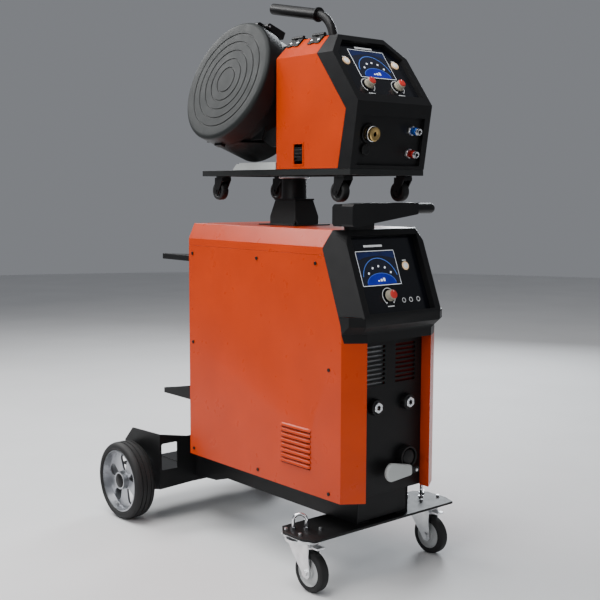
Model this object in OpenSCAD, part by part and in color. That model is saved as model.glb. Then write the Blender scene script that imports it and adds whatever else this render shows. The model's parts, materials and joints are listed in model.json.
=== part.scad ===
// MIG welder on a cart: power source cabinet, swivelling wire feeder and spool drum.
// Axes: +Z up, the front faces -Y. The origin is on the ground, under the middle of the machine.
// The modules work in cabinet coordinates (z = 0 at the cabinet floor, y = 0 at the front fold
// of the side panels, x = 0 on the symmetry plane), and place() moves them to the part's frame.

/* [Cabinet] */
// Width of the power source cabinet
cab_w = 320; // [300:1:340]
// Depth of the cabinet side panels
cab_d = 624; // [610:1:640]
// Height of the flat cabinet top above the cabinet floor
cab_h = 648; // [640:1:660]
// Height of the cabinet floor above the ground
ground_h = 214; // [214:1:216]
// Sheet metal thickness
sheet = 2; // [1.5:0.1:2.5]
// Height where the side panels meet the top cover
seam_z = 588; // [580:1:592]
// Height of the lower edge of the plastic hood
hood_z = 385; // [375:1:388]

/* [Wheels and casters] */
// Diameter of the rear wheels
rear_wheel_d = 224; // [216:1:228]
// Width of the rear wheel tyres
rear_wheel_w = 65; // [55:1:65]
// Distance of the rear axle behind the front fold
axle_y = 817; // [812:1:820]
// Diameter of the front caster wheels
caster_d = 100; // [90:1:100]
// Sideways place of the front caster king pins
caster_x = 209; // [205:1:212]
// Diameter of the small caster wheels under the wire feeder
small_d = 50; // [44:1:50]

/* [Wire feeder] */
// Half width of the wire feeder body
feed_x = 125; // [120:1:127]
// Height of the feeder tray's top above the cabinet floor
tray_z = 792; // [790:1:796]
// Height of the feeder body's flat top above the cabinet floor
feed_top = 1112; // [1108:1:1116]
// Turn of the feeder drum's face upwards from vertical, in degrees
drum_tilt = 20.5; // [19:0.5:22]
// Radius of the spool drum cover
drum_r = 163; // [160:1:163]
// Place of the feeder pivot behind the front fold
pivot_y = 362; // [358:1:366]

/* [Hidden] */
$fn = 64;

paint = "#c8480f";
black = "#1e1e1e";
dark = "#33363a";
grey = "#6a6e6e";
pale = "#a9adab";
steel = "#b9bcc0";

// Radial clearance of every running fit
fit = 0.05;

// Cabinet
hw = cab_w / 2;
top_x = hw - 19;
top_drop = 41;
chamfer_x = 109.5;
chamfer_y = -35;
panel_y = -3.5;
nose_y = -47.5;
nose_z = 448;
nose_low = 405;
hood_top_y = 28.6;
hood_lean = atan((hood_top_y - nose_y) / (cab_h - nose_z));
hood_len = norm([hood_top_y - nose_y, cab_h - nose_z]);
mid_y = (axle_y + rear_wheel_d / 2 + nose_y) / 2;
hood_back = [[-3.5, hood_z], [4, 427], [69, 603], [54, cab_h]];
socket_x = 55;
socket_z = 222;
control_x = 52;
control_z = 83;
control_r = 29;
panel_recess = 16;
source_knob_at = [-20, 50];
source_button_at = [62, 123];
cap_pivot = [66, 52];

// Cart
rail_x = 88;
rail_w = 40;
plate_z = -71;
plate_t = 6;
cross_y = 702;
cross_t = 4;
side_plate_x = 208;
axle_z = -ground_h + rear_wheel_d / 2;
axle_r = 10;
king_y = 77;
caster_trail = 33;
caster_z = -ground_h + caster_d / 2;
fork_top = plate_z - plate_t;
king_r = 8;
wheel_in = 221;
platform_z = -80;
bottle_y = 823;
bottle_r = 117;
saddle_tip = 810;
saddle_x = 126;

// Feeder
pivot_r = 33;
pin_r = 15;
shelf_t = 15;
feed_rear = 284;
feed_chamfer_x = 76;
feed_chamfer_z = 1065;
feed_front = [[13.1, tray_z], [-11.6, 946.5], [111.2, feed_top]];
door_front = [[55.9, tray_z], [29.1, 930], [132.2, 1065], [142, feed_top]];
upper_lean = atan((feed_front[2].x - feed_front[1].x) / (feed_front[2].y - feed_front[1].y));
lower_lean = atan((feed_front[1].x - feed_front[0].x) / (feed_front[1].y - feed_front[0].y));
knob_s = 60;
knob_x = 50;
button_s = 132;
button_x = 82;
screen_recess = 12;
face_recess = 9;
torch_x = -72;
torch_s = 82;
coupler_x = 72;
coupler_s = [38, 93];
drum_c = [-161, 450, 1025];
cover_d = 52;
shell_d = 125;
shell_r = 156.5;
spool_r = 150;
hub_r = 25;
hinge_u = drum_r + 9;
hinge_d = 57;
door_hinge = [-feed_chamfer_x, feed_top + 5];
small_x = 101.6;
small_y = [71.8, 554];
small_trail = 14;
small_top = tray_z - shelf_t;
small_z = small_top - 64 + small_d / 2;
small_king_r = 4.95;
wire_z = 873;
roll_r = 18;
roll_y = 150;
gear_x = -50;

// Moves cabinet coordinates to the part's frame.
module place() translate([0, -mid_y, ground_h]) children();

// Extrudes a (y, z) outline along X between two x values.
module along_x(x0, x1) translate([x0, 0, 0]) rotate([90, 0, 90]) linear_extrude(x1 - x0) children();

// Extrudes an (x, z) outline along Y between two y values.
module along_y(y0, y1) translate([0, y1, 0]) rotate([90, 0, 0]) linear_extrude(y1 - y0) children();

// Cylinders along X and Y, starting at x0 or y0.
module rod_x(x0, x1, r, y, z) translate([x0, y, z]) rotate([0, 90, 0]) cylinder(h = x1 - x0, r = r);
module rod_y(y0, y1, r, x, z) translate([x, y0, z]) rotate([-90, 0, 0]) cylinder(h = y1 - y0, r = r);

// A box from its lowest to its highest corner.
module box(a, b) translate(a) cube(b - a);

// Frames that lie on the sloped panels: x across, z up the slope, y into the body.
module hood_frame() translate([0, nose_y, nose_z]) rotate([-hood_lean, 0, 0]) children();
module screen_frame() translate([0, feed_front[1].x, feed_front[1].y]) rotate([-upper_lean, 0, 0]) children();
module face_frame() translate([0, feed_front[0].x, feed_front[0].y]) rotate([-lower_lean, 0, 0]) children();

// Frame of the spool drum: z along its axis into the drum, x down its face, y to the rear.
module drum_frame() translate(drum_c) rotate([0, 90 + drum_tilt, 0]) children();

module both_sides() for (s = [0, 1]) mirror([s, 0, 0]) children();

// A plate with rounded corners, standing in the x-z plane of its frame.
module round_slot(x0, x1, z0, z1, r, y0, y1) along_y(y0, y1) {
    for (x = [x0 + r, x1 - r], z = [z0 + r, z1 - r]) translate([x, z]) circle(r);
    translate([x0 + r, z0]) square([x1 - x0 - 2 * r, z1 - z0]);
    translate([x0, z0 + r]) square([x1 - x0, z1 - z0 - 2 * r]);
}

// ---- Cart ----

module rail() difference() {
    along_x(-rail_x, -rail_x + rail_w)
        polygon([[15, -0.5], [cross_y, -0.5], [cross_y, -95], [602, -88], [545, plate_z], [15, plate_z]]);
    along_x(-rail_x + 4, -rail_x + rail_w + 1)
        polygon([[14, -5], [cross_y + 1, -5], [cross_y + 1, -90], [602, -83.5], [545, plate_z + 5],
            [14, plate_z + 5]]);
}

module base_rails() color(black) place() {
    both_sides() rail();
    for (y = [150, 420]) box([-rail_x + rail_w, y, -60], [rail_x - rail_w, y + 30, -6]);
    // The wall that closes the rails at the front
    box([-rail_x + 4.1, 17, plate_z + 5.1], [rail_x - 4.1, 21, -5.1]);
}

module front_plate() color(black) place() difference() {
    outline = [[-241, -2], [-255, 35], [-255, 99], [-229, 132], [229, 132], [255, 99], [255, 35],
        [241, -2]];
    translate([0, 0, plate_z - plate_t]) linear_extrude(plate_t) polygon(outline);
    for (s = [-1, 1], dx = [-32, 32], dy = [-26, 26])
        translate([s * caster_x + dx, king_y + dy, plate_z - plate_t - 1]) cylinder(h = plate_t + 2, r = 4.5);
}

module axle_bracket() color(black) place() difference() {
    union() {
        along_y(cross_y, cross_y + cross_t)
            polygon([[-212, -115], [-104, -110], [104, -110], [212, -115], [212, 46], [118, 28],
                [-118, 28], [-212, 46]]);
        both_sides() along_x(side_plate_x, side_plate_x + cross_t)
            polygon([[cross_y + cross_t, -115], [790, -132], [844, -132], [890, -60], [893, -3], [850, 40],
                [cross_y + cross_t, 45]]);
        both_sides() rod_x(side_plate_x - 22, side_plate_x, 17, axle_y, axle_z);
    }
    both_sides() round_slot(152, 206, -60, 17, 5, cross_y - 1, cross_y + cross_t + 1);
    rod_x(-side_plate_x - 10, side_plate_x + 10, axle_r + fit, axle_y, axle_z);
}

module bottle_platform() color(black) place() {
    px = side_plate_x - 0.3;
    box([-px, cross_y + cross_t + 0.3, platform_z - 4], [px, 926, platform_z]);
    for (x = [-110, 110])
        box([x - 3, cross_y + cross_t + 0.3, platform_z - 11], [x + 3, 900, platform_z - 4]);
    for (x = [-60, 0, 60]) box([x - 18, 738, platform_z], [x + 18, 908, platform_z + 2.5]);
}

// A plate behind the cabinet with a round bay for the gas bottle and a turned-down rim.
module saddle_plan(grow, r) difference() {
    translate([-saddle_x + grow, cab_d]) square([2 * (saddle_x - grow), saddle_tip - cab_d - grow]);
    translate([0, bottle_y]) circle(r);
}
module saddle(z0, z1) difference() {
    translate([0, 0, z0]) linear_extrude(z1 - z0) saddle_plan(0, bottle_r);
    translate([0, 0, z0 - 1]) linear_extrude(z1 - z0 - 2) saddle_plan(3, bottle_r + 3);
}
module bottle_saddles() color(black) place() {
    saddle(539, 555);
    difference() {
        saddle(141, 178);
        along_x(-saddle_x - 1, saddle_x + 1)
            polygon([[cab_d + 30, 179], [saddle_tip + 1, 156], [saddle_tip + 1, 180]]);
    }
}

// A round-headed screw whose axis is along X, head outwards.
module side_screw(y, z, r) {
    rod_x(hw, hw + 2.4, r, y, z);
    rod_x(hw - 6, hw, r / 2, y, z);
}
side_screws = [[605, 18], [315, 18], [41, 16], [605, 320], [43, 317], [606, 566], [320, 568], [93, 568]];

module tie_ring() {
    ring_r = 16;
    rod_r = 4;
    translate([caster_x + 4, 84, plate_z]) rotate([0, 0, 40]) {
        translate([0, 0, 22]) rotate([90, 0, 0]) rotate_extrude(angle = 180)
            translate([ring_r, 0]) circle(rod_r);
        for (x = [-ring_r, ring_r]) translate([x, 0, 1]) cylinder(h = 21.5, r = rod_r - 0.1);
        for (x = [-ring_r, ring_r]) translate([x, 0, 0.1]) cylinder(h = 6, r = 7, $fn = 6);
    }
}

module tie_rings() color(steel) place() both_sides() tie_ring();

module hardware() color(steel) place() {
    // Rear axle with a spacer inside each wheel
    rod_x(-wheel_in - rear_wheel_w + 9, wheel_in + rear_wheel_w - 9, axle_r, axle_y, axle_z);
    both_sides() difference() {
        rod_x(side_plate_x + cross_t + 0.2, wheel_in - 0.5, 16, axle_y, axle_z);
        rod_x(side_plate_x, wheel_in, axle_r, axle_y, axle_z);
    }
    both_sides() for (p = side_screws) side_screw(p.x, p.y, 4.5);
    // Caster top plates with four bolts and the king pin each
    both_sides() translate([caster_x, king_y, fork_top]) {
        box([-40, -34, -4], [40, 34, -0.1]);
        for (dx = [-32, 32], dy = [-26, 26]) translate([dx, dy, -9]) {
            cylinder(h = plate_t + 15, r = 4);
            cylinder(h = 5.5, r = 7, $fn = 6);
        }
        translate([0, 0, -18]) cylinder(h = 15, r = king_r);
        translate([0, 0, -20.5]) cylinder(h = 3.2, r = 12);
    }
}

// ---- Power source cabinet ----

// Everything in front of the hood's rear edge, used to trim the sheet metal.
module hood_space() along_x(-hw - 5, hw + 5)
    polygon(concat([[-80, hood_z]], hood_back, [[54, cab_h + 40], [-80, cab_h + 40]]));

module side_panel() difference() {
    union() {
        linear_extrude(seam_z) polygon([[-hw, cab_d], [-hw, 0], [-chamfer_x, chamfer_y],
            [-chamfer_x, panel_y - 0.5], [-chamfer_x - sheet, panel_y - 0.5],
            [-chamfer_x - sheet, chamfer_y + 3.6], [-hw + sheet, 0.9], [-hw + sheet, cab_d]]);
        for (i = [0:7]) along_y(107, 221)
            polygon([[-hw, 70 + 13 * i], [-hw - 4, 64 + 13 * i], [-hw - 4, 63 + 13 * i], [-hw, 63 + 13 * i]]);
    }
    for (i = [0:7]) box([-hw - 3, 108.5, 59 + 13 * i], [-hw + 3, 219.5, 64.5 + 13 * i]);
    for (p = side_screws) rod_x(-hw - 1, -hw + 3, 2.5, p.x, p.y);
    hood_space();
}
module left_side_panel() color(paint) place() side_panel();
module right_side_panel() color(paint) place() mirror([1, 0, 0]) side_panel();

module floor_pan() color(black) place() {
    difference() {
        box([-hw + sheet + 0.1, 1.5, 0], [hw - sheet - 0.1, cab_d - sheet - 0.2, 2]);
        for (i = [0:8]) box([-90, 60 + i * 18, -1], [90, 68 + i * 18, 3]);
    }
    for (x = [-rail_x + 12, rail_x - 12], y = [60, 560]) translate([x, y, 2]) cylinder(h = 5, r = 8, $fn = 6);
}

module cabinet_section(inset) polygon([[-hw + inset, seam_z + 0.3], [-hw + inset, cab_h - top_drop],
    [-top_x + inset * 0.55, cab_h - inset], [top_x - inset * 0.55, cab_h - inset],
    [hw - inset, cab_h - top_drop], [hw - inset, seam_z + 0.3]]);

module top_cover() color(paint) place() difference() {
    along_y(0, cab_d) cabinet_section(0);
    along_y(-1, cab_d + 1) cabinet_section(sheet);
    hood_space();
}

switch_x = -95;
switch_z = 470;
gland_x = 95;
gland_z = 60;
fan_z = 330;
fan_r = 105;
fan_y = 600;
fan_shaft_r = 4.95;
module rear_panel() color(black) place() {
    difference() {
        along_y(cab_d - sheet, cab_d) polygon([[-hw + 2.2, 2.2], [-hw + 2.2, cab_h - top_drop - 0.4],
            [-top_x + 2, cab_h - 2.4], [top_x - 2, cab_h - 2.4], [hw - 2.2, cab_h - top_drop - 0.4],
            [hw - 2.2, 2.2]]);
        rod_y(cab_d - 3, cab_d + 1, fan_r, 0, fan_z);
        rod_y(cab_d - 3, cab_d + 1, 17.1, switch_x, switch_z);
        rod_y(cab_d - 3, cab_d + 1, 14, gland_x, gland_z);
    }
    // Fan guard
    along_y(cab_d + 0.2, cab_d + 3) translate([0, fan_z]) {
        for (r = [18:17:fan_r + 3]) difference() {
            circle(r + 1.6);
            circle(r - 1.6);
        }
        for (a = [45:90:315]) rotate(a) translate([17, -2]) square([fan_r - 5, 4]);
    }
    // Fan motor and its shaft
    rod_y(fan_y + 16, cab_d + 0.4, 21, 0, fan_z);
    rod_y(fan_y - 4, fan_y + 16, fan_shaft_r, 0, fan_z);
    // Mains cable gland
    difference() {
        union() {
            rod_y(cab_d + 0.1, cab_d + 8, 18, gland_x, gland_z);
            rod_y(cab_d + 8, cab_d + 26, 14.5, gland_x, gland_z);
            rod_y(cab_d - 14, cab_d + 0.1, 13.6, gland_x, gland_z);
        }
        rod_y(cab_d - 15, cab_d + 27, 8, gland_x, gland_z);
    }
}

module grille_slots(x0) for (i = [0:8])
    box([x0, panel_y - 1, 274 + i * 11.2], [x0 + 68, panel_y + 4, 280 + i * 11.2]);

module front_panel() color(black) place() difference() {
    box([-chamfer_x - 1.8, panel_y, 2.2], [chamfer_x + 1.8, panel_y + 3, 420]);
    grille_slots(-86);
    grille_slots(18);
    for (s = [-1, 1]) rod_y(panel_y - 1, panel_y + 4, 17, s * socket_x, socket_z);
    rod_y(panel_y - 1, panel_y + 4, 24, control_x, control_z);
}

// Cuts the small facet at each top front corner of the hood.
module hood_corner(w) translate([114, hood_top_y, cab_h]) rotate([0, 56.8, -46.7])
    translate([-60, -60, -w]) cube([120, 120, 40]);

// Slopes the underside of the hood's nose back to the side edge below it.
module nose_slope(w) translate([hw, 0, nose_low + 0.5 + 1.4 * w])
    rotate([0, 0, -atan2(chamfer_y, hw - chamfer_x)])
        along_x(-110, 50) polygon([[9, -9], [-60, 60], [-60, -30], [9, -30]]);

// The hood's outer body, shrunk by a wall thickness.
module hood_body(w) difference() {
    hood_block(w);
    both_sides() hood_corner(w);
}
module hood_block(w) intersection() {
    union() {
        hood_frame() translate([0, 0, -2]) linear_extrude(hood_len + 40)
            polygon([[-hw + w, 160], [-hw + w, 55 + w / 2], [-131 + w, w], [131 - w, w],
                [hw - w, 55 + w / 2], [hw - w, 160]]);
        difference() {
            translate([0, 0, nose_low]) linear_extrude(nose_z - nose_low)
                polygon([[-hw + w, 90], [-hw + w, -24.4 + w], [-127 + w / 2, nose_y + w],
                    [127 - w / 2, nose_y + w], [hw - w, -24.4 + w], [hw - w, 90]]);
            both_sides() nose_slope(w);
        }
        translate([0, 0, hood_z]) linear_extrude(nose_low + 3 - hood_z)
            polygon([[-hw + w, 90], [-hw + w, w / 2], [-chamfer_x + w / 3, chamfer_y + w],
                [chamfer_x - w / 3, chamfer_y + w], [hw - w, w / 2], [hw - w, 90]]);
    }
    along_x(-hw, hw) polygon(concat(
        [for (p = hood_back) [p.x + 20 * w, p.y]],
        [[hood_top_y + w, cab_h - w], [nose_y + w, nose_z], [nose_y + w, 425], [chamfer_y + w, 412],
            [chamfer_y + w, hood_z]]));
    along_y(-80, 200) polygon([[-hw, hood_z + (w > 0 ? -1 : 0)], [-hw, cab_h - top_drop - w],
        [-top_x + w / 2, cab_h - w], [top_x - w / 2, cab_h - w], [hw, cab_h - top_drop - w],
        [hw, hood_z + (w > 0 ? -1 : 0)]]);
}

panel_x = 112;
panel_s0 = 7;
panel_s1 = 199;
module hood() color(black) place() {
    difference() {
        hood_body(0);
        hood_body(3);
        hood_frame() box([-panel_x, -5, panel_s0], [panel_x, 8, panel_s1]);
        // Clears the sheet metal and the black panel behind the hood
        box([-chamfer_x - 2, panel_y - 0.2, hood_z - 1], [chamfer_x + 2, 60, 421]);
    }
    hood_frame() difference() {
        box([-panel_x - 2.5, 3.2, panel_s0 - 2.5], [panel_x + 2.5, panel_recess + 3.4, panel_s1 + 2.5]);
        box([-panel_x, -5, panel_s0], [panel_x, 30, panel_s1]);
    }
}

module source_panel() color(dark) place() hood_frame() {
    difference() {
        box([-panel_x + 0.3, panel_recess, panel_s0 + 0.3],
            [panel_x - 0.3, panel_recess + 3, panel_s1 - 0.3]);
        rod_y(0, 40, 4.05, source_knob_at.x, source_knob_at.y);
        rod_y(0, 40, 7.6, source_button_at.x, source_button_at.y);
    }
    round_slot(-97, 33, 77, 165, 3, panel_recess - 1.5, panel_recess);
}

// An output socket with a round black collar and a bored brass contact.
module output_socket() {
    difference() {
        union() {
            rod_y(panel_y - 15, panel_y - 0.1, 20.5, 0, 0);
            rod_y(panel_y - 0.1, panel_y + 22, 16.8, 0, 0);
            rod_y(panel_y - 18.5, panel_y - 15, 13.5, 0, 0);
        }
        rod_y(panel_y - 19, panel_y + 12, 6.5, 0, 0);
    }
}
module front_sockets() color(steel) place() {
    for (s = [-1, 1]) translate([s * socket_x, 0, socket_z]) output_socket();
    translate([control_x, 0, control_z]) difference() {
        union() {
            rod_y(panel_y - 19, panel_y - 0.1, control_r, 0, 0);
            rod_y(panel_y - 0.1, panel_y + 14, 23.7, 0, 0);
        }
        rod_y(panel_y - 20, panel_y + 2, control_r - 6, 0, 0);
    }
    translate([control_x, 0, control_z]) for (a = [0:72:288])
        rotate([0, a, 0]) rod_y(panel_y - 6, panel_y + 2, 2, 12, 0);
    rod_y(panel_y - 36, panel_y - 0.1, 4, cap_pivot.x, cap_pivot.y);
}

module socket_cap() color(pale) place() difference() {
    along_y(panel_y - 34, panel_y - 20) {
        translate([-16, 59]) circle(23.5);
        polygon([[-14, 82.2], [66, 64], [78, 60], [78, 44], [66, 40], [-14, 35.8]]);
    }
    rod_y(panel_y - 40, panel_y, 4 + fit, cap_pivot.x, cap_pivot.y);
    rod_y(panel_y - 31, panel_y, 19, -16, 59);
}

module transformer() color(dark) place() {
    difference() {
        box([-95, 330, 12], [95, 470, 172]);
        for (x = [-60, 8]) box([x, 320, 42], [x + 52, 480, 142]);
    }
    for (x = [-80, 80], y = [345, 455]) translate([x, y, 2.2]) cylinder(h = 9.6, r = 9);
}

module inverter_module() color(steel) place() {
    for (x = [-120, 60]) {
        box([x, 130, 190], [x + 8, 300, 370]);
        for (i = [0:9]) box([x + 8, 138 + i * 17, 190], [x + 50, 141 + i * 17, 370]);
    }
    box([-62, 130, 200], [-59, 300, 360]);
    for (i = [0:2]) rod_x(-58.8, -12, 22, 165 + i * 50, 240);
    for (y = [140, 290], x = [-116, 64]) box([x, y - 6, 2.2], [x + 4, y + 6, 189.8]);
}

module fan_rotor() color(black) place() translate([0, fan_y, fan_z]) rotate([90, 0, 0]) {
    difference() {
        cylinder(h = 30, r = 28, center = true);
        translate([0, 0, -16]) cylinder(h = 22, r = fan_shaft_r + fit);
    }
    for (a = [0:360 / 7:359]) rotate([0, 0, a]) translate([26, 0, 0]) rotate([32, 0, 0])
        translate([0, -22, -1.2]) cube([68, 44, 2.4]);
}

module power_switch() color(black) place() translate([switch_x, 0, switch_z]) {
    rod_y(cab_d - 12, cab_d + 6, 16, 0, 0);
    box([-5, cab_d + 6, -22], [5, cab_d + 24, 22]);
}

module source_knob() color(grey) place() hood_frame() translate([source_knob_at.x, 0, source_knob_at.y]) {
    rod_y(-4, panel_recess - 2, 14, 0, 0);
    rod_y(panel_recess - 2, panel_recess + 12, 4, 0, 0);
}

module source_button() color(pale) place() hood_frame()
    rod_y(panel_recess - 4, panel_recess + 5, 7.2, source_button_at.x, source_button_at.y);

module front_handle() color(black) place() {
    difference() {
        union() {
            along_y(-14, 26) polygon([[-138, 657], [-141, 662], [-141, 704], [-136, 709.5], [-95, 711.5],
                [80, 711.5], [80, 684], [72, 682.5], [-26, 670], [-124, 657]]);
            box([-141, 26, 657], [-112, 46, 709]);
            along_x(-141, -112) translate([46, 669]) {
                polygon([[0, -12], [0, 40], [4, 39], [10, 33], [10, -6], [5, -12]]);
            }
            along_y(29, 46) polygon([[-112, cab_h + 0.2], [-28, cab_h + 0.2], [-28, 690], [-112, 690]]);
            box([-112, 26, 672], [-28, 29, 700]);
        }
        box([-150, -30, 600], [-112.001, 60, 656.9]);
    }
    // Hose peg
    difference() {
        rod_x(80.1, 142, 13.2, 6, 697);
        rod_x(84, 150, 10, 6, 697);
    }
    translate([142, 6, 697]) rotate([0, 90, 0])
        rotate_extrude() polygon([[0, 0], [13.2, 0], [11, 6], [6, 8.5], [0, 9]]);
}

// ---- Feeder pivot ----

pedestal_top = cab_h + 66;

// A frustum on a rectangular base, from size a at the bottom to size b at the top.
module frustum(a, b, z0, z1) polyhedron(
    [for (i = [0, 1], c = [[-1, -1], [1, -1], [1, 1], [-1, 1]])
        let (size = i == 0 ? a : b) [c.x * size.x / 2, c.y * size.y / 2, i == 0 ? z0 : z1]],
    [[0, 1, 2, 3], [4, 5, 1, 0], [5, 6, 2, 1], [6, 7, 3, 2], [7, 4, 0, 3], [7, 6, 5, 4]]);

module pivot_pedestal() color(dark) place() translate([0, pivot_y, cab_h + 3.2]) {
    difference() {
        frustum([88, 116], [64, 82], 0, 62.6);
        frustum([82.2, 110.2], [55.8, 73.8], -1, 64);
        for (x = [-44, 44], y = [-58, 58]) translate([x, y, 30])
            rotate([0, 0, 45]) cube([14, 14, 70], center = true);
    }
    translate([0, 0, -3]) linear_extrude(3) square([124, 150], center = true);
}

module pivot_post() color(black) place() translate([0, pivot_y, 0]) {
    translate([0, 0, pedestal_top]) {
        translate([-pivot_r, -43, 0]) cube([2 * pivot_r, 86, 4]);
        translate([0, 0, 4]) cylinder(h = tray_z - shelf_t - 7 - pedestal_top - 4, r = pivot_r);
    }
    translate([0, 0, tray_z - shelf_t - 8]) cylinder(h = 17, r = pin_r);
}

// ---- Front casters and rear wheels ----

// One swivelling fork with its axle bolt, nuts and the brake pedal beside the wheel.
module caster_fork(s) color(steel) place() translate([s * caster_x, king_y, 0]) {
    ax = caster_z;
    difference() {
        union() {
            translate([0, 0, fork_top - 9.5]) cylinder(h = 5.2, r = 26);
            translate([0, 0, fork_top - 17]) cylinder(h = 7.6, r = 44);
            for (x = [-20, 17]) along_x(x, x + 3) polygon([[-39, fork_top - 14], [39, fork_top - 14],
                [39, fork_top - 20], [14, fork_top - 52], [-caster_trail + 14, ax - 4],
                [-caster_trail + 7, ax - 13], [-caster_trail - 6, ax - 14], [-caster_trail - 13, ax - 6],
                [-caster_trail - 10, ax + 22]]);
        }
        rod_x(-30, 30, 5, -caster_trail, ax);
        translate([0, 0, fork_top - 18]) cylinder(h = 16, r = king_r + fit);
    }
    rod_x(-24, 24, 5, -caster_trail, ax);
    for (x = [-26, 20]) translate([x, -caster_trail, ax])
        rotate([0, 90, 0]) cylinder(h = 6, r = 8.5, $fn = 6);
    box([-12, -66, fork_top - 26], [12, -36, fork_top - 22]);
    box([-12, -40, fork_top - 26], [-8, -34, fork_top - 12]);
}
module front_fork_left() caster_fork(-1);
module front_fork_right() caster_fork(1);

module caster_wheel(s) color(dark) place() translate([s * caster_x, king_y - caster_trail, caster_z]) {
    r = caster_d / 2;
    bore = 5 + fit;
    difference() {
        rotate([0, 90, 0]) rotate_extrude() polygon([[bore, -15], [16, -15], [17, -6], [33, -6], [35, -13],
            [r - 4, -14], [r, -9], [r, 9], [r - 4, 14], [35, 13], [33, 6], [17, 6], [16, 15], [bore, 15]]);
        for (a = [0:72:288]) rotate([a, 0, 0]) rod_x(-9, 9, 5, 25, 0);
    }
}
module front_wheel_left() caster_wheel(-1);
module front_wheel_right() caster_wheel(1);

// Rear wheel: tyre, dished rim with five windows and a hub on the axle.
module rear_wheel(s) place() mirror([s < 0 ? 1 : 0, 0, 0])
    translate([wheel_in + rear_wheel_w / 2, axle_y, axle_z]) {
    r = rear_wheel_d / 2;
    w = rear_wheel_w / 2;
    bore = axle_r + fit;
    color(black) rotate([0, 90, 0]) rotate_extrude() polygon([[90, -w + 6], [94, -w + 1], [r - 9, -w],
        [r - 2, -w + 9], [r, 0], [r - 2, w - 9], [r - 9, w], [94, w - 1], [90, w - 6]]);
    color(steel) difference() {
        rotate([0, 90, 0]) rotate_extrude() polygon([[bore, -w + 1], [24, -w + 1], [25, 2], [80, 2],
            [84, -w + 5], [89.9, -w + 5], [89.9, w - 5], [86, w - 4], [82, 8], [27, 8], [25, w - 8],
            [bore, w - 8]]);
        for (a = [0:72:288]) rotate([a, 0, 0]) along_x(-w, w) {
            translate([0, 62]) circle(17);
            polygon([[-16.3, 57.2], [16.3, 57.2], [6, 33], [-6, 33]]);
            translate([0, 35]) circle(6.3);
        }
    }
}
module rear_wheel_left() rear_wheel(-1);
module rear_wheel_right() rear_wheel(1);

// ---- Wire feeder ----

module feeder_tray() color(dark) place() {
    difference() {
        box([-124.4, 13.5, tray_z - shelf_t], [124.4, 607, tray_z]);
        box([-121.4, 16.5, tray_z - shelf_t - 1], [121.4, 604, tray_z - 3]);
    }
    // Caster pads and king pins
    for (x = [-small_x, small_x], y = small_y) translate([x, y - small_trail, small_top]) {
        box([-20, -26, 0], [20, 26, shelf_t - 2]);
        translate([0, 0, -13]) cylinder(h = 14, r = small_king_r);
        translate([0, 0, -13.4]) cylinder(h = 1.2, r = 7);
    }
    // Swivel bush for the pivot pin
    translate([0, pivot_y, tray_z - shelf_t - 6.6]) difference() {
        cylinder(h = shelf_t + 3.6, r = 28);
        translate([0, 0, -1]) cylinder(h = 17.2, r = pin_r + fit);
    }
}

module feeder_section(inset, left) polygon(left
    ? [[-feed_x + inset, tray_z + 1], [-feed_x + inset, feed_chamfer_z - inset * 0.4],
        [-feed_chamfer_x - 0.5 + inset * 0.4, feed_top - inset],
        [-feed_chamfer_x - 0.5 + inset * 0.4, tray_z + 1]]
    : [[-feed_chamfer_x + inset, feed_top - inset], [feed_chamfer_x - inset * 0.4, feed_top - inset],
        [feed_x - inset, feed_chamfer_z - inset * 0.4], [feed_x - inset, tray_z + 0.2],
        [-feed_chamfer_x + inset, tray_z + 0.2]]);

// Keeps what lies between the bezel's rear edge and the feeder's rear wall.
module feeder_side_trim(gap) along_x(-feed_x - 5, feed_x + 5) polygon(concat(
    [for (p = door_front) [p.x + gap, p.y]], [[feed_rear - gap, feed_top], [feed_rear - gap, tray_z]]));

module feeder_shell() color(paint) place() {
    intersection() {
        difference() {
            along_y(0, feed_rear) feeder_section(0, false);
            along_y(-1, feed_rear - sheet) feeder_section(sheet, false);
            box([-feed_chamfer_x - 1, -1, tray_z],
                [-feed_chamfer_x + sheet, feed_rear - sheet, feed_top - sheet]);
            rod_y(feed_rear - 4, feed_rear + 1, 9, torch_x + 14, wire_z);
        }
        feeder_side_trim(0.2);
    }
    // The rear wall's part behind the door
    along_y(feed_rear - sheet, feed_rear) polygon([[-feed_x + 2.5, tray_z + 0.2],
        [-feed_x + 2.5, feed_chamfer_z - 1], [-feed_chamfer_x - 0.1, feed_top - 3.2],
        [-feed_chamfer_x - 0.1, tray_z + 0.2]]);
    // Door hinge knuckles
    for (y = [172, 250]) difference() {
        union() {
            rod_y(y, y + 14, 5, door_hinge.x, door_hinge.y);
            box([door_hinge.x, y, feed_top], [door_hinge.x + 16, y + 14, feed_top + 3]);
        }
        rod_y(y - 1, y + 15, 2.05, door_hinge.x, door_hinge.y);
    }
}

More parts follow.
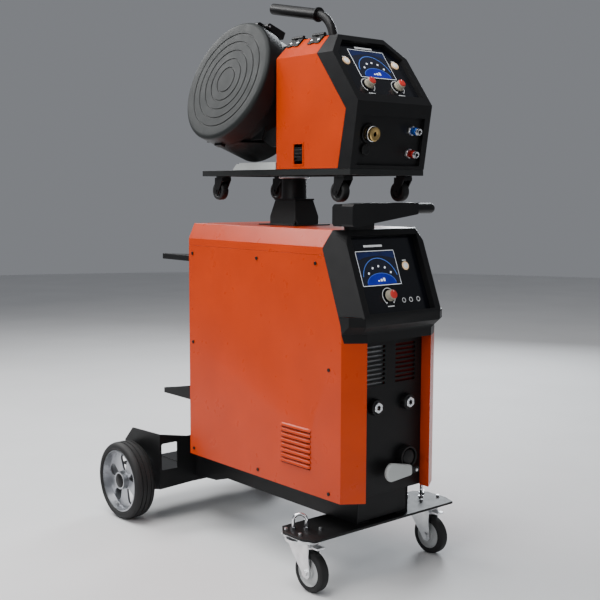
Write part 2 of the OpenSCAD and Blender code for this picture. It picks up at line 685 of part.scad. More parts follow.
latch_y = [182, 215];
latch_z = [804, 853];
module feeder_door() color(paint) place() {
    difference() {
        intersection() {
            difference() {
                along_y(0, feed_rear) feeder_section(0, true);
                along_y(-1, feed_rear + 1) feeder_section(sheet, true);
                box([-feed_chamfer_x - 3, -1, tray_z - 1], [0, feed_rear + 1, feed_top - 2.2]);
            }
            feeder_side_trim(0.6);
        }
        box([-feed_x - 1, latch_y[0], latch_z[0]], [-feed_x + 5, latch_y[1], latch_z[1]]);
        for (y = [172, 250]) rod_y(y - 0.5, y + 14.5, 5.6, door_hinge.x, door_hinge.y);
    }
    // Hinge knuckles and pins
    for (y = [172, 250]) {
        for (dy = [-14.3, 14.3]) rod_y(y + dy, y + dy + 14, 5, door_hinge.x, door_hinge.y);
        rod_y(y - 1, y + 15, 2, door_hinge.x, door_hinge.y);
        for (dy = [-14.3, 14.3]) along_y(y + dy, y + dy + 14)
            polygon([[door_hinge.x, feed_top], [door_hinge.x - 3, feed_top + 4],
                [door_hinge.x - 22, feed_top - 17], [door_hinge.x - 19, feed_top - 17.5]]);
    }
    // Latch frame
    difference() {
        box([-feed_x - 1.5, latch_y[0] - 3, latch_z[0] - 3],
            [-feed_x - 0.01, latch_y[1] + 3, latch_z[1] + 3]);
        box([-feed_x - 2, latch_y[0], latch_z[0]], [-feed_x + 1, latch_y[1], latch_z[1]]);
    }
}

module door_latch() color(black) place() {
    box([-feed_x - 1, latch_y[0] + 0.6, latch_z[0] + 8], [-feed_x + 3, latch_y[1] - 0.6, latch_z[1] - 8]);
    for (z = [latch_z[0] + 16, latch_z[0] + 24, latch_z[0] + 32])
        box([-feed_x - 3, latch_y[0] + 4, z], [-feed_x - 1, latch_y[1] - 4, z + 3]);
}

module bezel_body(w) intersection() {
    along_x(-feed_x + w, feed_x - w) polygon(concat(
        [for (p = feed_front) [p.x + w * 1.2, p.y - (p.y == feed_top ? w : 0)]],
        [for (i = [3:-1:0]) [door_front[i].x + 20 * w, door_front[i].y - (i == 3 ? w : 0)]]));
    along_y(-80, 300) polygon([[-feed_x, tray_z + 0.2], [-feed_x, feed_chamfer_z - w * 0.4],
        [-feed_chamfer_x + w * 0.4, feed_top - w], [feed_chamfer_x - w * 0.4, feed_top - w],
        [feed_x, feed_chamfer_z - w * 0.4], [feed_x, tray_z + 0.2]]);
}

scr_x = 108;
scr_s = [24, 190];
scr_corner_s = 146;
scr_top_x = 71;
screen_x = 60;
screen_s = [83, 171];
face_x = 106;
face_s = [8, 124];

// The sloped control panel's six-sided outline, grown by g, between two depths.
module screen_plate(g, y0, y1) {
    right = [[scr_x + g, scr_s[0] - g], [scr_x + g, scr_corner_s + 0.36 * g],
        [scr_top_x + 0.47 * g, scr_s[1] + g]];
    along_y(y0, y1) polygon(concat(right, [for (i = [2:-1:0]) [-right[i].x, right[i].y]]));
}

module feeder_bezel() color(black) place() {
    difference() {
        bezel_body(0);
        difference() {
            bezel_body(3);
            box([-200, -80, tray_z - 1], [200, 300, tray_z + 3]);
        }
        screen_frame() screen_plate(0, -10, 6);
        face_frame() box([-face_x, -10, face_s[0]], [face_x, 6, face_s[1]]);
        box([-feed_x - 1, 56.2, tray_z - 1], [feed_x + 1, 90, tray_z + 3.2]);
    }
    screen_frame() difference() {
        screen_plate(2.4, 3.3, screen_recess + 2);
        screen_plate(0, -5, 20);
    }
    face_frame() difference() {
        box([-face_x - 2.4, 3.3, face_s[0] - 2.4], [face_x + 2.4, face_recess + 2.5, face_s[1] + 2.4]);
        box([-face_x, -5, face_s[0]], [face_x, face_recess, face_s[1]]);
        rod_y(-5, 30, 17, torch_x, torch_s);
        for (s = coupler_s) rod_y(-5, 30, 8, coupler_x, s);
    }
}

module feeder_panel() color(dark) place() screen_frame() {
    difference() {
        screen_plate(-0.3, screen_recess - 1, screen_recess + 2);
        for (s = [-1, 1]) {
            rod_y(0, 40, 4.05, s * knob_x, knob_s);
            rod_y(0, 40, 7.6, s * button_x, button_s);
        }
    }
    round_slot(-screen_x, screen_x, screen_s[0], screen_s[1], 3, screen_recess - 2.5, screen_recess - 1);
}

module panel_knob(x) color(grey) place() screen_frame() translate([x, 0, knob_s]) {
    rod_y(-9, screen_recess - 3, 13, 0, 0);
    rod_y(screen_recess - 3, screen_recess + 10, 4, 0, 0);
}
module feeder_knob_left() panel_knob(-knob_x);
module feeder_knob_right() panel_knob(knob_x);

module panel_button(x) color(pale) place() screen_frame()
    rod_y(screen_recess - 5, screen_recess + 5, 7.2, x, button_s);
module feeder_button_left() panel_button(-button_x);
module feeder_button_right() panel_button(button_x);

// Torch socket, blank cap and two water couplers on the lower face.
module torch_fittings() color("#8a7a4a") place() face_frame() {
    f = face_recess;
    translate([torch_x, 0, torch_s]) difference() {
        union() {
            rod_y(f - 6, f - 0.1, 23, 0, 0);
            rod_y(f - 26, f - 6, 17, 0, 0);
            rod_y(f - 0.1, f + 30, 16.8, 0, 0);
        }
        rod_y(f - 27, f + 40, 5, 0, 0);
        for (x = [-11, 11]) rod_y(f - 27, f - 10, 2, x, 0);
    }
    rod_y(f - 7, f - 0.1, 14, torch_x - 5, torch_s - 38);
    for (s = coupler_s) translate([coupler_x, 0, s]) difference() {
        union() {
            rod_y(f - 6, f - 0.1, 12, 0, 0);
            rod_y(f - 30, f - 6, 9.5, 0, 0);
            rod_y(f - 0.1, f + 16, 7.8, 0, 0);
        }
        rod_y(f - 31, f + 10, 4.5, 0, 0);
    }
}

module wire_drive() color(steel) place() {
    // Inner wall, drive plate, motor and the inlet and outlet guides
    difference() {
        union() {
            along_x(gear_x, gear_x + 2) polygon([[66, tray_z + 0.2], [66, 1012], [100, 1050],
                [feed_rear - sheet - 0.3, 1050], [feed_rear - sheet - 0.3, tray_z + 0.2]]);
            box([gear_x - 8, 80, 815], [gear_x, 225, 950]);
        }
        rod_x(gear_x - 9, gear_x + 3, 6.05, roll_y, wire_z - roll_r);
    }
    difference() {
        union() {
            rod_x(gear_x + 2.1, gear_x + 30, 38, roll_y, wire_z - roll_r);
            rod_x(gear_x + 30, gear_x + 110, 31, roll_y, wire_z - roll_r);
        }
        rod_x(gear_x, gear_x + 24, 6.6, roll_y, wire_z - roll_r);
    }
    for (y = [85, 180]) difference() {
        union() {
            rod_y(y, y + 36, 5, torch_x, wire_z);
            box([torch_x, y + 8, wire_z - 4], [gear_x - 8, y + 28, wire_z + 4]);
        }
        rod_y(y - 1, y + 37, 1.5, torch_x, wire_z);
    }
    // Pivot pin of the pressure arm
    rod_x(gear_x - 34, gear_x - 8, 4, 206, 925);
}

module drive_roll() color(steel) place() {
    difference() {
        rod_x(torch_x - 7, torch_x + 7, roll_r - 0.8, roll_y, wire_z - roll_r);
        translate([torch_x, roll_y, wire_z - roll_r]) rotate([0, 90, 0])
            rotate_extrude() polygon([[roll_r, -1.5], [roll_r - 2, 0], [roll_r, 1.5]]);
    }
    rod_x(torch_x + 7, gear_x + 22, 6, roll_y, wire_z - roll_r);
    rod_x(torch_x - 13, torch_x - 7, 9, roll_y, wire_z - roll_r);
}

module pressure_arm() color(black) place() {
    difference() {
        along_x(torch_x - 12, torch_x - 8.5) polygon([[138, 880], [162, 880], [170, 900], [216, 918],
            [216, 932], [196, 934], [128, 918], [100, 916], [100, 904], [132, 902]]);
        rod_x(torch_x - 13, torch_x, 4 + fit, 206, 925);
    }
    difference() {
        rod_x(torch_x - 8.4, torch_x + 7, roll_r - 1, roll_y, wire_z + roll_r);
        rod_x(torch_x - 9, torch_x + 8, 4, roll_y, wire_z + roll_r);
    }
    rod_x(torch_x - 8.4, torch_x + 9, 4, roll_y, wire_z + roll_r);
    translate([torch_x - 10.2, 108, 917]) cylinder(h = 34, r = 8);
}

module feeder_handle() color(black) place() translate([0, 212, feed_top]) {
    bend = 70;
    rise = 11.4;
    translate([0, 0, 0.2]) cylinder(h = 4, r = 20);
    translate([0, bend, 4.1]) rotate([90, 0, 90])
        rotate([0, 0, 90 + rise]) rotate_extrude(angle = 90 - rise) translate([bend, 0]) circle(11);
    translate([0, bend - bend * sin(rise), 4.1 + bend * cos(rise)]) rotate([rise - 90, 0, 0]) {
        difference() {
            translate([0, 0, -4]) cylinder(h = 188, r = 14.5);
            translate([0, 0, 20]) cylinder(h = 170, r = 11);
        }
        translate([0, 0, -2]) cylinder(h = 5, r = 18.5);
    }
}

module spool_bracket() color(steel) place() {
    for (x = [-124, -32]) along_x(x, x + 3)
        polygon([[289, tray_z + 0.2], [470, tray_z + 0.2], [452, 808], [289, 808]]);
    box([-124, 289, 808], [-29, 440, 811]);
}

// The drum's fixed housing: wall, square back plate, rear disc and spool hub.
module drum_shell() color(grey) place() {
    drum_frame() {
        difference() {
            union() {
                translate([0, 0, 30]) cylinder(h = shell_d - 30, r = shell_r, $fn = 128);
                translate([0, 0, cover_d + 1]) cylinder(h = 4, r = drum_r, $fn = 128);
                translate([-120, -120, 78]) cube([258, 240, 4]);
            }
            translate([0, 0, 20]) cylinder(h = shell_d - 24, r = shell_r - 3.5, $fn = 128);
        }
        difference() {
            translate([0, 0, 16]) cylinder(h = shell_d - 20, r = hub_r);
            translate([0, 0, 10]) cylinder(h = 90, r = 8);
        }
        // Hinge block on the top
        difference() {
            translate([-hinge_u - 8, -44, hinge_d + 11]) cube([20, 88, 42]);
            translate([0, 0, 20]) cylinder(h = 120, r = shell_r - 1, $fn = 128);
        }
        for (y = [-44, 20]) difference() {
            union() {
                translate([-hinge_u, y, hinge_d]) rotate([-90, 0, 0]) cylinder(h = 24, r = 8);
                translate([-hinge_u - 8, y, hinge_d]) cube([16, 24, 12]);
            }
            translate([-hinge_u, y - 1, hinge_d]) rotate([-90, 0, 0]) cylinder(h = 26, r = 3.4);
            translate([0, 0, 20]) cylinder(h = 80, r = drum_r, $fn = 128);
        }
    }
    // Wire outlet guide to the feeder's rear wall
    along_x(-122, -112)
        polygon([[340, 866], [326, 888], [feed_rear + 0.2, 901], [feed_rear + 0.2, 850], [305, 849]]);
}

module drum_cradle() color(black) place() difference() {
    drum_frame() difference() {
        translate([0, 0, cover_d + 5.3]) cylinder(h = 108, r = drum_r, $fn = 128);
        translate([0, 0, cover_d]) cylinder(h = shell_d - cover_d + 0.6, r = shell_r + 1, $fn = 128);
        translate([0, 0, shell_d]) cylinder(h = 37, r = shell_r + 1, $fn = 128);
    }
    box([-400, 200, 862], [200, 700, 1300]);
}

ring_steps = [40, 62, 84, 106, 128];
module spool_cover() color(grey) place() drum_frame() {
    difference() {
        rotate_extrude($fn = 128) polygon(concat([[0, 2]],
            [for (r = ring_steps, k = [0:3]) [r + [-4, -1, 1, 4][k], [1.5, 3, 3, 1.5][k]]],
            [for (a = [0:15:90]) [drum_r - 12 + 12 * sin(a), 13 - 12 * cos(a)]],
            [[drum_r, cover_d], [drum_r - 3, cover_d], [drum_r - 3, 14], [drum_r - 14, 5.5], [0, 5.5]]));
        for (y = [-46, 18]) translate([-drum_r - 20, y, cover_d - 8]) cube([30, 28, 40]);
    }
    // Hinge knuckle and pin
    translate([-hinge_u, -19.5, hinge_d]) rotate([-90, 0, 0]) cylinder(h = 39, r = 8);
    translate([-hinge_u, -44, hinge_d]) rotate([-90, 0, 0]) cylinder(h = 88, r = 3);
    difference() {
        translate([-hinge_u - 8, -19.5, 34]) cube([20, 39, cover_d + 0.8 - 34]);
        translate([0, 0, 30]) cylinder(h = 60, r = drum_r - 0.5, $fn = 128);
    }
    // Latch tab
    difference() {
        translate([drum_r - 2, -16, 34]) cube([8, 32, 16]);
        translate([0, 0, 30]) cylinder(h = 60, r = drum_r - 1, $fn = 128);
    }
}

module spool() color(pale) place() drum_frame() translate([0, 0, 16]) rotate_extrude()
    polygon([[hub_r + fit, 0], [spool_r, 0], [spool_r, 4], [130, 4], [130, 96], [spool_r, 96],
        [spool_r, 100], [hub_r + fit, 100]]);

// ---- Small casters under the feeder ----

module small_fork(x, y) color(black) place() translate([x, y, 0]) {
    difference() {
        union() {
            translate([0, 0, small_top - 4]) cylinder(h = 3.8, r = 20);
            translate([-15, -14, small_top - 12]) cube([30, 34, 8]);
            for (sx = [-15, 12]) along_x(sx, sx + 3)
                polygon([[-14, small_top - 10], [20, small_top - 10], [small_trail + 9, small_z - 7],
                    [small_trail + 3, small_z - 10], [small_trail - 5, small_z - 9]]);
        }
        rod_x(-20, 20, 4, small_trail, small_z);
        translate([0, 0, small_top - 20]) cylinder(h = 30, r = small_king_r + fit);
    }
    rod_x(-17, 17, 4, small_trail, small_z);
}
module small_wheel(x, y) color(dark) place() translate([x, y + small_trail, small_z]) rotate([0, 90, 0])
    rotate_extrude() polygon([[4 + fit, -11], [9, -11], [10, -8], [17, -8], [18, -10],
        [small_d / 2 - 3, -11], [small_d / 2, -7], [small_d / 2, 7], [small_d / 2 - 3, 11], [18, 10],
        [17, 8], [10, 8], [9, 11], [4 + fit, 11]]);
module small_fork_front_left() small_fork(-small_x, small_y[0] - small_trail);
module small_fork_front_right() small_fork(small_x, small_y[0] - small_trail);
module small_fork_rear_left() small_fork(-small_x, small_y[1] - small_trail);
module small_fork_rear_right() small_fork(small_x, small_y[1] - small_trail);
module small_wheel_front_left() small_wheel(-small_x, small_y[0] - small_trail);
module small_wheel_front_right() small_wheel(small_x, small_y[0] - small_trail);
module small_wheel_rear_left() small_wheel(-small_x, small_y[1] - small_trail);
module small_wheel_rear_right() small_wheel(small_x, small_y[1] - small_trail);

base_rails();
front_plate();
axle_bracket();
bottle_platform();
bottle_saddles();
hardware();
tie_rings();
floor_pan();
left_side_panel();
right_side_panel();
top_cover();
rear_panel();
front_panel();
hood();
source_panel();
front_sockets();
transformer();
inverter_module();
front_handle();
pivot_pedestal();
pivot_post();
fan_rotor();
power_switch();
source_knob();
source_button();
socket_cap();
front_fork_left();
front_fork_right();
front_wheel_left();
front_wheel_right();
rear_wheel_left();
rear_wheel_right();
feeder_tray();
feeder_shell();
feeder_bezel();
feeder_panel();
spool_bracket();
drum_shell();
drum_cradle();
torch_fittings();
wire_drive();
feeder_handle();
feeder_door();
door_latch();
spool_cover();
spool();
drive_roll();
pressure_arm();
feeder_knob_left();
feeder_knob_right();
feeder_button_left();
feeder_button_right();
small_fork_front_left();
small_fork_front_right();
small_fork_rear_left();
small_fork_rear_right();
small_wheel_front_left();
small_wheel_front_right();
small_wheel_rear_left();
small_wheel_rear_right();
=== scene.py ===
"""MIG welder on a cart: the visual model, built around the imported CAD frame."""
import json
import math

import bmesh
import bpy
from mathutils import Matrix, Vector


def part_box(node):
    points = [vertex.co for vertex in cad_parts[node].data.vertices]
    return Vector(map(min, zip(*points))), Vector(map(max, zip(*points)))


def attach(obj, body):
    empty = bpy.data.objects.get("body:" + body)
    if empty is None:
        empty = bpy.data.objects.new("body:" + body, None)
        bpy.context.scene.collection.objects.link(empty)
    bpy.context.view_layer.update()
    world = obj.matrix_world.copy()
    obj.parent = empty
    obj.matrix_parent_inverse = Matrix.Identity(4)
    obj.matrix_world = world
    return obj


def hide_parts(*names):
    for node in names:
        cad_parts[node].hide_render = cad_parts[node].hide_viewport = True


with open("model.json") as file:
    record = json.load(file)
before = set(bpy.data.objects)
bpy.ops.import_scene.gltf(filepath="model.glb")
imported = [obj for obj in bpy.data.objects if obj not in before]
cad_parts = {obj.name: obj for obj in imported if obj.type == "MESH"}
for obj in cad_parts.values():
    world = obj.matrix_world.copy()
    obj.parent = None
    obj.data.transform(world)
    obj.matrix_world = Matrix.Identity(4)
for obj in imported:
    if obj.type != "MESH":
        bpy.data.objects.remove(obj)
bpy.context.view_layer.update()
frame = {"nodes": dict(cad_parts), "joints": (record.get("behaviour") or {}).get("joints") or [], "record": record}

MM = 0.001
NODES = frame["nodes"]
JOINTS = {j["name"]: j for j in frame["joints"]}
BODY_OF = {n: b for b, ns in frame["record"]["behaviour"]["bodies"].items() for n in ns}
SLOT_OF = {s["node"]: s["material_slot"] for s in frame["record"]["subparts"]}


# ---- Materials ----

def make_material(name, colour, rough, metal=0.0, vary=0.12, grain=0.0, grain_scale=900.0,
                  coat=0.0, mottle_scale=9.0, emission=0.0, dust=0.0, rough_vary=0.08,
                  brushed=False, gloss=0.5):
    """A principled material with cloudy colour change, uneven roughness and a fine surface grain."""
    mat = bpy.data.materials.new(name)
    mat.use_nodes = True
    nodes, links = mat.node_tree.nodes, mat.node_tree.links
    shader = nodes["Principled BSDF"]
    shader.inputs["Metallic"].default_value = metal
    shader.inputs["Coat Weight"].default_value = coat
    shader.inputs["Coat Roughness"].default_value = 0.12
    shader.inputs["Specular IOR Level"].default_value = gloss
    coords = nodes.new("ShaderNodeTexCoord")
    mottle = nodes.new("ShaderNodeTexNoise")
    mottle.inputs["Scale"].default_value = mottle_scale
    mottle.inputs["Detail"].default_value = 6.0
    links.new(coords.outputs["Object"], mottle.inputs["Vector"])
    ramp = nodes.new("ShaderNodeValToRGB")
    ramp.color_ramp.elements[0].position = 0.32
    ramp.color_ramp.elements[1].position = 0.70
    ramp.color_ramp.elements[0].color = [c * (1 - vary) for c in colour] + [1]
    ramp.color_ramp.elements[1].color = [min(1, c * (1 + vary)) for c in colour] + [1]
    links.new(mottle.outputs["Fac"], ramp.inputs["Fac"])
    surface = ramp.outputs["Color"]
    if dust:
        # Fine pale dust that settles on faces that look up
        geometry = nodes.new("ShaderNodeNewGeometry")
        split = nodes.new("ShaderNodeSeparateXYZ")
        links.new(geometry.outputs["Normal"], split.inputs[0])
        specks = nodes.new("ShaderNodeTexNoise")
        specks.inputs["Scale"].default_value = 60.0
        specks.inputs["Detail"].default_value = 8.0
        links.new(coords.outputs["Object"], specks.inputs["Vector"])
        amount = nodes.new("ShaderNodeMath")
        amount.operation = "MULTIPLY"
        amount.use_clamp = True
        links.new(split.outputs["Z"], amount.inputs[0])
        links.new(specks.outputs["Fac"], amount.inputs[1])
        scaled = nodes.new("ShaderNodeMath")
        scaled.operation = "MULTIPLY"
        scaled.inputs[1].default_value = dust
        scaled.use_clamp = True
        links.new(amount.outputs[0], scaled.inputs[0])
        mix = nodes.new("ShaderNodeMix")
        mix.data_type = "RGBA"
        mix.inputs["B"].default_value = (0.42, 0.40, 0.37, 1)
        links.new(scaled.outputs[0], mix.inputs["Factor"])
        links.new(surface, mix.inputs["A"])
        surface = mix.outputs["Result"]
    links.new(surface, shader.inputs["Base Color"])
    # Emission is a real glow for the display materials, and a painted glow on the white print and the button ring
    if emission:
        links.new(surface, shader.inputs["Emission Color"])
        shader.inputs["Emission Strength"].default_value = emission
    patches = nodes.new("ShaderNodeTexNoise")
    patches.inputs["Scale"].default_value = 34.0
    patches.inputs["Detail"].default_value = 5.0
    if brushed:
        stretch = nodes.new("ShaderNodeMapping")
        stretch.inputs["Scale"].default_value = (1.0, 1.0, 14.0)
        links.new(coords.outputs["Object"], stretch.inputs["Vector"])
        links.new(stretch.outputs["Vector"], patches.inputs["Vector"])
    else:
        links.new(coords.outputs["Object"], patches.inputs["Vector"])
    spread = nodes.new("ShaderNodeMapRange")
    spread.inputs["To Min"].default_value = max(0.02, rough - rough_vary)
    spread.inputs["To Max"].default_value = min(1.0, rough + rough_vary)
    links.new(patches.outputs["Fac"], spread.inputs["Value"])
    links.new(spread.outputs["Result"], shader.inputs["Roughness"])
    if grain:
        fine = nodes.new("ShaderNodeTexNoise")
        fine.inputs["Scale"].default_value = grain_scale
        fine.inputs["Detail"].default_value = 2.0
        links.new(coords.outputs["Object"], fine.inputs["Vector"])
        bump = nodes.new("ShaderNodeBump")
        bump.inputs["Strength"].default_value = grain
        bump.inputs["Distance"].default_value = 0.0004
        links.new(fine.outputs["Fac"], bump.inputs["Height"])
        links.new(bump.outputs["Normal"], shader.inputs["Normal"])
    return mat


ORANGE = make_material("orange_powder_coat", (0.47, 0.036, 0.001), 0.30, vary=0.06, grain=0.10,
                       grain_scale=1400, coat=0.04, dust=0.012, gloss=0.24)
BLACK_PAINT = make_material("black_powder_coat", (0.0050, 0.0050, 0.0054), 0.44, grain=0.16,
                            grain_scale=1100, dust=0.012, gloss=0.22)
BLACK_PLASTIC = make_material("black_moulded_plastic", (0.0046, 0.0046, 0.0050), 0.42, grain=0.20,
                              grain_scale=1700, dust=0.012, gloss=0.24)
DARK_STEEL = make_material("dark_grey_paint", (0.012, 0.013, 0.013), 0.45, grain=0.16, dust=0.02,
                           gloss=0.28)
PANEL_FILM = make_material("panel_film", (0.003, 0.0035, 0.006), 0.20, vary=0.2, coat=0.10, gloss=0.30)
GREY_PLASTIC = make_material("grey_moulded_plastic", (0.0135, 0.0155, 0.0155), 0.58, vary=0.07,
                             grain=0.22, grain_scale=1500, dust=0.01, gloss=0.16)
GROOVE = make_material("dark_groove", (0.016, 0.017, 0.017), 0.60, grain=0.2, gloss=0.3)
ZINC = make_material("zinc_plate", (0.78, 0.79, 0.80), 0.34, metal=1.0, vary=0.12, mottle_scale=40,
                     grain=0.08, brushed=True)
CHROME = make_material("chrome", (0.76, 0.77, 0.79), 0.12, metal=1.0, vary=0.06, rough_vary=0.05)
RIM = make_material("wheel_rim", (0.42, 0.43, 0.45), 0.34, metal=1.0, vary=0.10, mottle_scale=30,
                    grain=0.06)
BRASS = make_material("brass", (0.62, 0.42, 0.16), 0.24, metal=1.0, vary=0.14, mottle_scale=60)
CORE = make_material("transformer_core", (0.07, 0.07, 0.075), 0.45, metal=0.6, vary=0.25, grain=0.3)
ALUMINIUM = make_material("aluminium", (0.74, 0.75, 0.77), 0.34, metal=1.0, vary=0.08, brushed=True)
RUBBER = make_material("rubber", (0.0085, 0.0085, 0.009), 0.62, vary=0.25, grain=0.35, grain_scale=700,
                       dust=0.05, gloss=0.35)
HUB_GREY = make_material("hub_grey", (0.44, 0.45, 0.45), 0.42, vary=0.08, grain=0.15)
KNOB_GREY = make_material("knob_cream", (0.42, 0.38, 0.29), 0.38, vary=0.06, grain=0.1)
KNOB_RED = make_material("knob_red", (0.62, 0.028, 0.018), 0.30, vary=0.08, coat=0.1)
# Cream button ring, with emission as a painted glow that brightens it
CREAM = make_material("button_cream_painted_glow", (0.85, 0.58, 0.33), 0.34, vary=0.05, grain=0.05, emission=0.35)
PALE = make_material("pale_plastic", (0.46, 0.48, 0.47), 0.42, vary=0.06, grain=0.12)
WIRE = make_material("welding_wire", (0.60, 0.34, 0.18), 0.30, metal=1.0, vary=0.12, grain=0.6,
                     grain_scale=400)
BLUE_RING = make_material("coupler_blue", (0.010, 0.07, 0.36), 0.25, metal=0.6, vary=0.08)
RED_RING = make_material("coupler_red", (0.40, 0.014, 0.010), 0.25, metal=0.6, vary=0.08)
# Dark red for the right fin pack: painted shade, a darker copy of the orange paint where the orange lies in shadow
SHADED_ORANGE_FINS = make_material("fins_painted_shade_dark_red", (0.20, 0.014, 0.010), 0.35, vary=0.2)
# White print for marks and button caps, with emission as a painted glow that brightens it
PRINT = make_material("white_print_painted_glow", (0.74, 0.75, 0.76), 0.45, vary=0.04, emission=0.35)
SCREEN_DARK = make_material("display_dark", (0.003, 0.005, 0.016), 0.10, vary=0.4, coat=0.3,
                            emission=0.4)
SCREEN_NAVY = make_material("display_navy", (0.003, 0.009, 0.05), 0.12, vary=0.35, mottle_scale=20,
                            emission=0.7)
SCREEN_BLUE = make_material("display_blue", (0.004, 0.008, 0.20), 0.12, vary=0.25, mottle_scale=20,
                            emission=0.8)
SCREEN_SKY = make_material("display_sky", (0.05, 0.13, 0.45), 0.12, vary=0.12, emission=0.8)
SCREEN_WHITE = make_material("display_white", (0.80, 0.84, 0.90), 0.15, vary=0.03, emission=0.9)
FLOOR = make_material("studio_floor", (0.70, 0.70, 0.70), 0.60, vary=0.03, mottle_scale=2.0, gloss=0.2)


# ---- Mesh helpers ----

WELD = 1e-6
FLAT_ANGLE = 0.6

def axes_matrix(origin, x, y, z):
    """The frame with this origin and these axis directions."""
    m = Matrix.Identity(4)
    for i, axis in enumerate((x, y, z)):
        for k in range(3):
            m[k][i] = axis[k]
    m.translation = Vector(origin)
    return m


def add_piece(name, bm, matrix, mats, body, slot, bevel=0.0, replaces=(), smooth=35):
    """Turns a bmesh into a finished piece: rounded edges, smooth shading, materials and its body."""
    mesh = bpy.data.meshes.new(name)
    bmesh.ops.recalc_face_normals(bm, faces=bm.faces)
    bm.to_mesh(mesh)
    bm.free()
    mesh.transform(matrix)
    if matrix.determinant() < 0:
        mesh.flip_normals()
    mesh.shade_smooth()
    mesh.set_sharp_from_angle(angle=math.radians(smooth))
    obj = bpy.data.objects.new(name, mesh)
    bpy.context.scene.collection.objects.link(obj)
    for m in mats:
        mesh.materials.append(m)
    if bevel:
        mod = obj.modifiers.new("edges", "BEVEL")
        mod.width = bevel * MM
        mod.segments = 2
        mod.limit_method = "ANGLE"
        mod.angle_limit = math.radians(min(smooth, 32))
        mod.harden_normals = True
    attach(obj, body)
    if replaces:
        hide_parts(*replaces)
    return obj


def lathe(name, profile, matrix, mat, body, slot, closed=False, seg=96, ribs=0, rib=0.0,
          mats=None, mat_of=None, **kw):
    """Turns (radius, height) points in mm round the local Z axis. Ribs ripple the radius."""
    bm = bmesh.new()
    rings = []
    for r, h in profile:
        if r < WELD:
            rings.append([bm.verts.new((0, 0, h * MM))])
            continue
        ring = []
        for i in range(seg):
            a = 2 * math.pi * i / seg
            rr = r - (rib * (0.5 + 0.5 * math.cos(ribs * a)) if ribs else 0)
            ring.append(bm.verts.new((rr * MM * math.cos(a), rr * MM * math.sin(a), h * MM)))
        rings.append(ring)
    pairs = list(zip(rings, rings[1:])) + ([(rings[-1], rings[0])] if closed else [])
    for k, (lower, upper) in enumerate(pairs):
        for i in range(seg):
            j = (i + 1) % seg
            corners = [lower[i % len(lower)], lower[j % len(lower)],
                       upper[j % len(upper)], upper[i % len(upper)]]
            corners = [v for n, v in enumerate(corners) if v not in corners[:n]]
            face = bm.faces.new(corners)
            if mat_of:
                face.material_index = mat_of(k)
    if not closed:
        for ring in (rings[0], rings[-1]):
            if len(ring) > 1:
                bm.faces.new(ring)
    return add_piece(name, bm, matrix, mats or [mat], body, slot, **kw)


def prism(name, outline, z0, z1, matrix, mat, body, slot, **kw):
    """Extrudes an outline of (x, y) points in mm between two heights in mm."""
    bm = bmesh.new()
    low = [bm.verts.new((x * MM, y * MM, z0 * MM)) for x, y in outline]
    high = [bm.verts.new((x * MM, y * MM, z1 * MM)) for x, y in outline]
    bm.faces.new(low[::-1])
    bm.faces.new(high)
    for i in range(len(outline)):
        j = (i + 1) % len(outline)
        bm.faces.new((low[i], low[j], high[j], high[i]))
    return add_piece(name, bm, matrix, [mat], body, slot, **kw)


def arc_points(cx, cy, rx, ry, a0, a1, n=28):
    """Points along an elliptic arc between two angles in degrees."""
    return [(cx + rx * math.cos(math.radians(a0 + (a1 - a0) * i / n)),
             cy + ry * math.sin(math.radians(a0 + (a1 - a0) * i / n))) for i in range(n + 1)]


def arc_band(cx, cy, rx, ry, width, a0, a1, n=28):
    """Outline of a band that follows an elliptic arc."""
    outer = arc_points(cx, cy, rx, ry, a0, a1, n)
    return outer + arc_points(cx, cy, rx - width, ry - width, a1, a0, n)


def round_box(w, h, r):
    """Outline of a rounded rectangle centred on the origin."""
    return [p for k, (sx, sy) in enumerate(((1, 1), (-1, 1), (-1, -1), (1, -1)))
            for p in arc_points(sx * (w / 2 - r), sy * (h / 2 - r), r, r, 90 * k, 90 * k + 90, 6)]


def loose_parts(bm):
    """The separate solids of a bmesh, as lists of faces."""
    left, parts = set(bm.faces), []
    while left:
        todo = [left.pop()]
        part = []
        while todo:
            face = todo.pop()
            part.append(face)
            for edge in face.edges:
                for other in edge.link_faces:
                    if other in left:
                        left.remove(other)
                        todo.append(other)
        parts.append(part)
    return parts


def cad_copy(node, keep=None):
    """A bmesh of a CAD node with its flat faces joined, and only the solids that keep(faces) wants."""
    bm = bmesh.new()
    bm.from_mesh(NODES[node].data)
    bmesh.ops.remove_doubles(bm, verts=bm.verts, dist=WELD)
    if keep:
        for part in loose_parts(bm):
            if not keep(part):
                bmesh.ops.delete(bm, geom=part, context="FACES")
    bmesh.ops.dissolve_limit(bm, angle_limit=math.radians(FLAT_ANGLE), verts=bm.verts, edges=bm.edges)
    return bm


def soften(node, mats, bevel, pick=None, regions=(), name=None, replace=True):
    """Copies a CAD node's solids with rounded edges, and shows the copy in its place.

    pick(centre) chooses solids, and regions lists (low, high, material index) boxes in metres."""
    def keep(part):
        return pick(sum((f.calc_center_median() for f in part), Vector()) / len(part))
    bm = cad_copy(node, keep if pick else None)
    for low, high, index in regions:
        for face in bm.faces:
            c = face.calc_center_median()
            if all(low[k] <= c[k] <= high[k] for k in range(3)):
                face.material_index = index
    mats = mats if isinstance(mats, (list, tuple)) else [mats]
    add_piece(name or node + "_shape", bm, Matrix.Identity(4), mats, BODY_OF[node], SLOT_OF[node],
              bevel=bevel, replaces=(node,) if replace else (), smooth=20)


# ---- Camera, floor and lights ----

CAMERA_PLACE = (-1.7737, -2.1837, 0.9595)
CAMERA_TURN = (-40.46, 6.20, 0.21)
CAMERA_LENS = 61.74


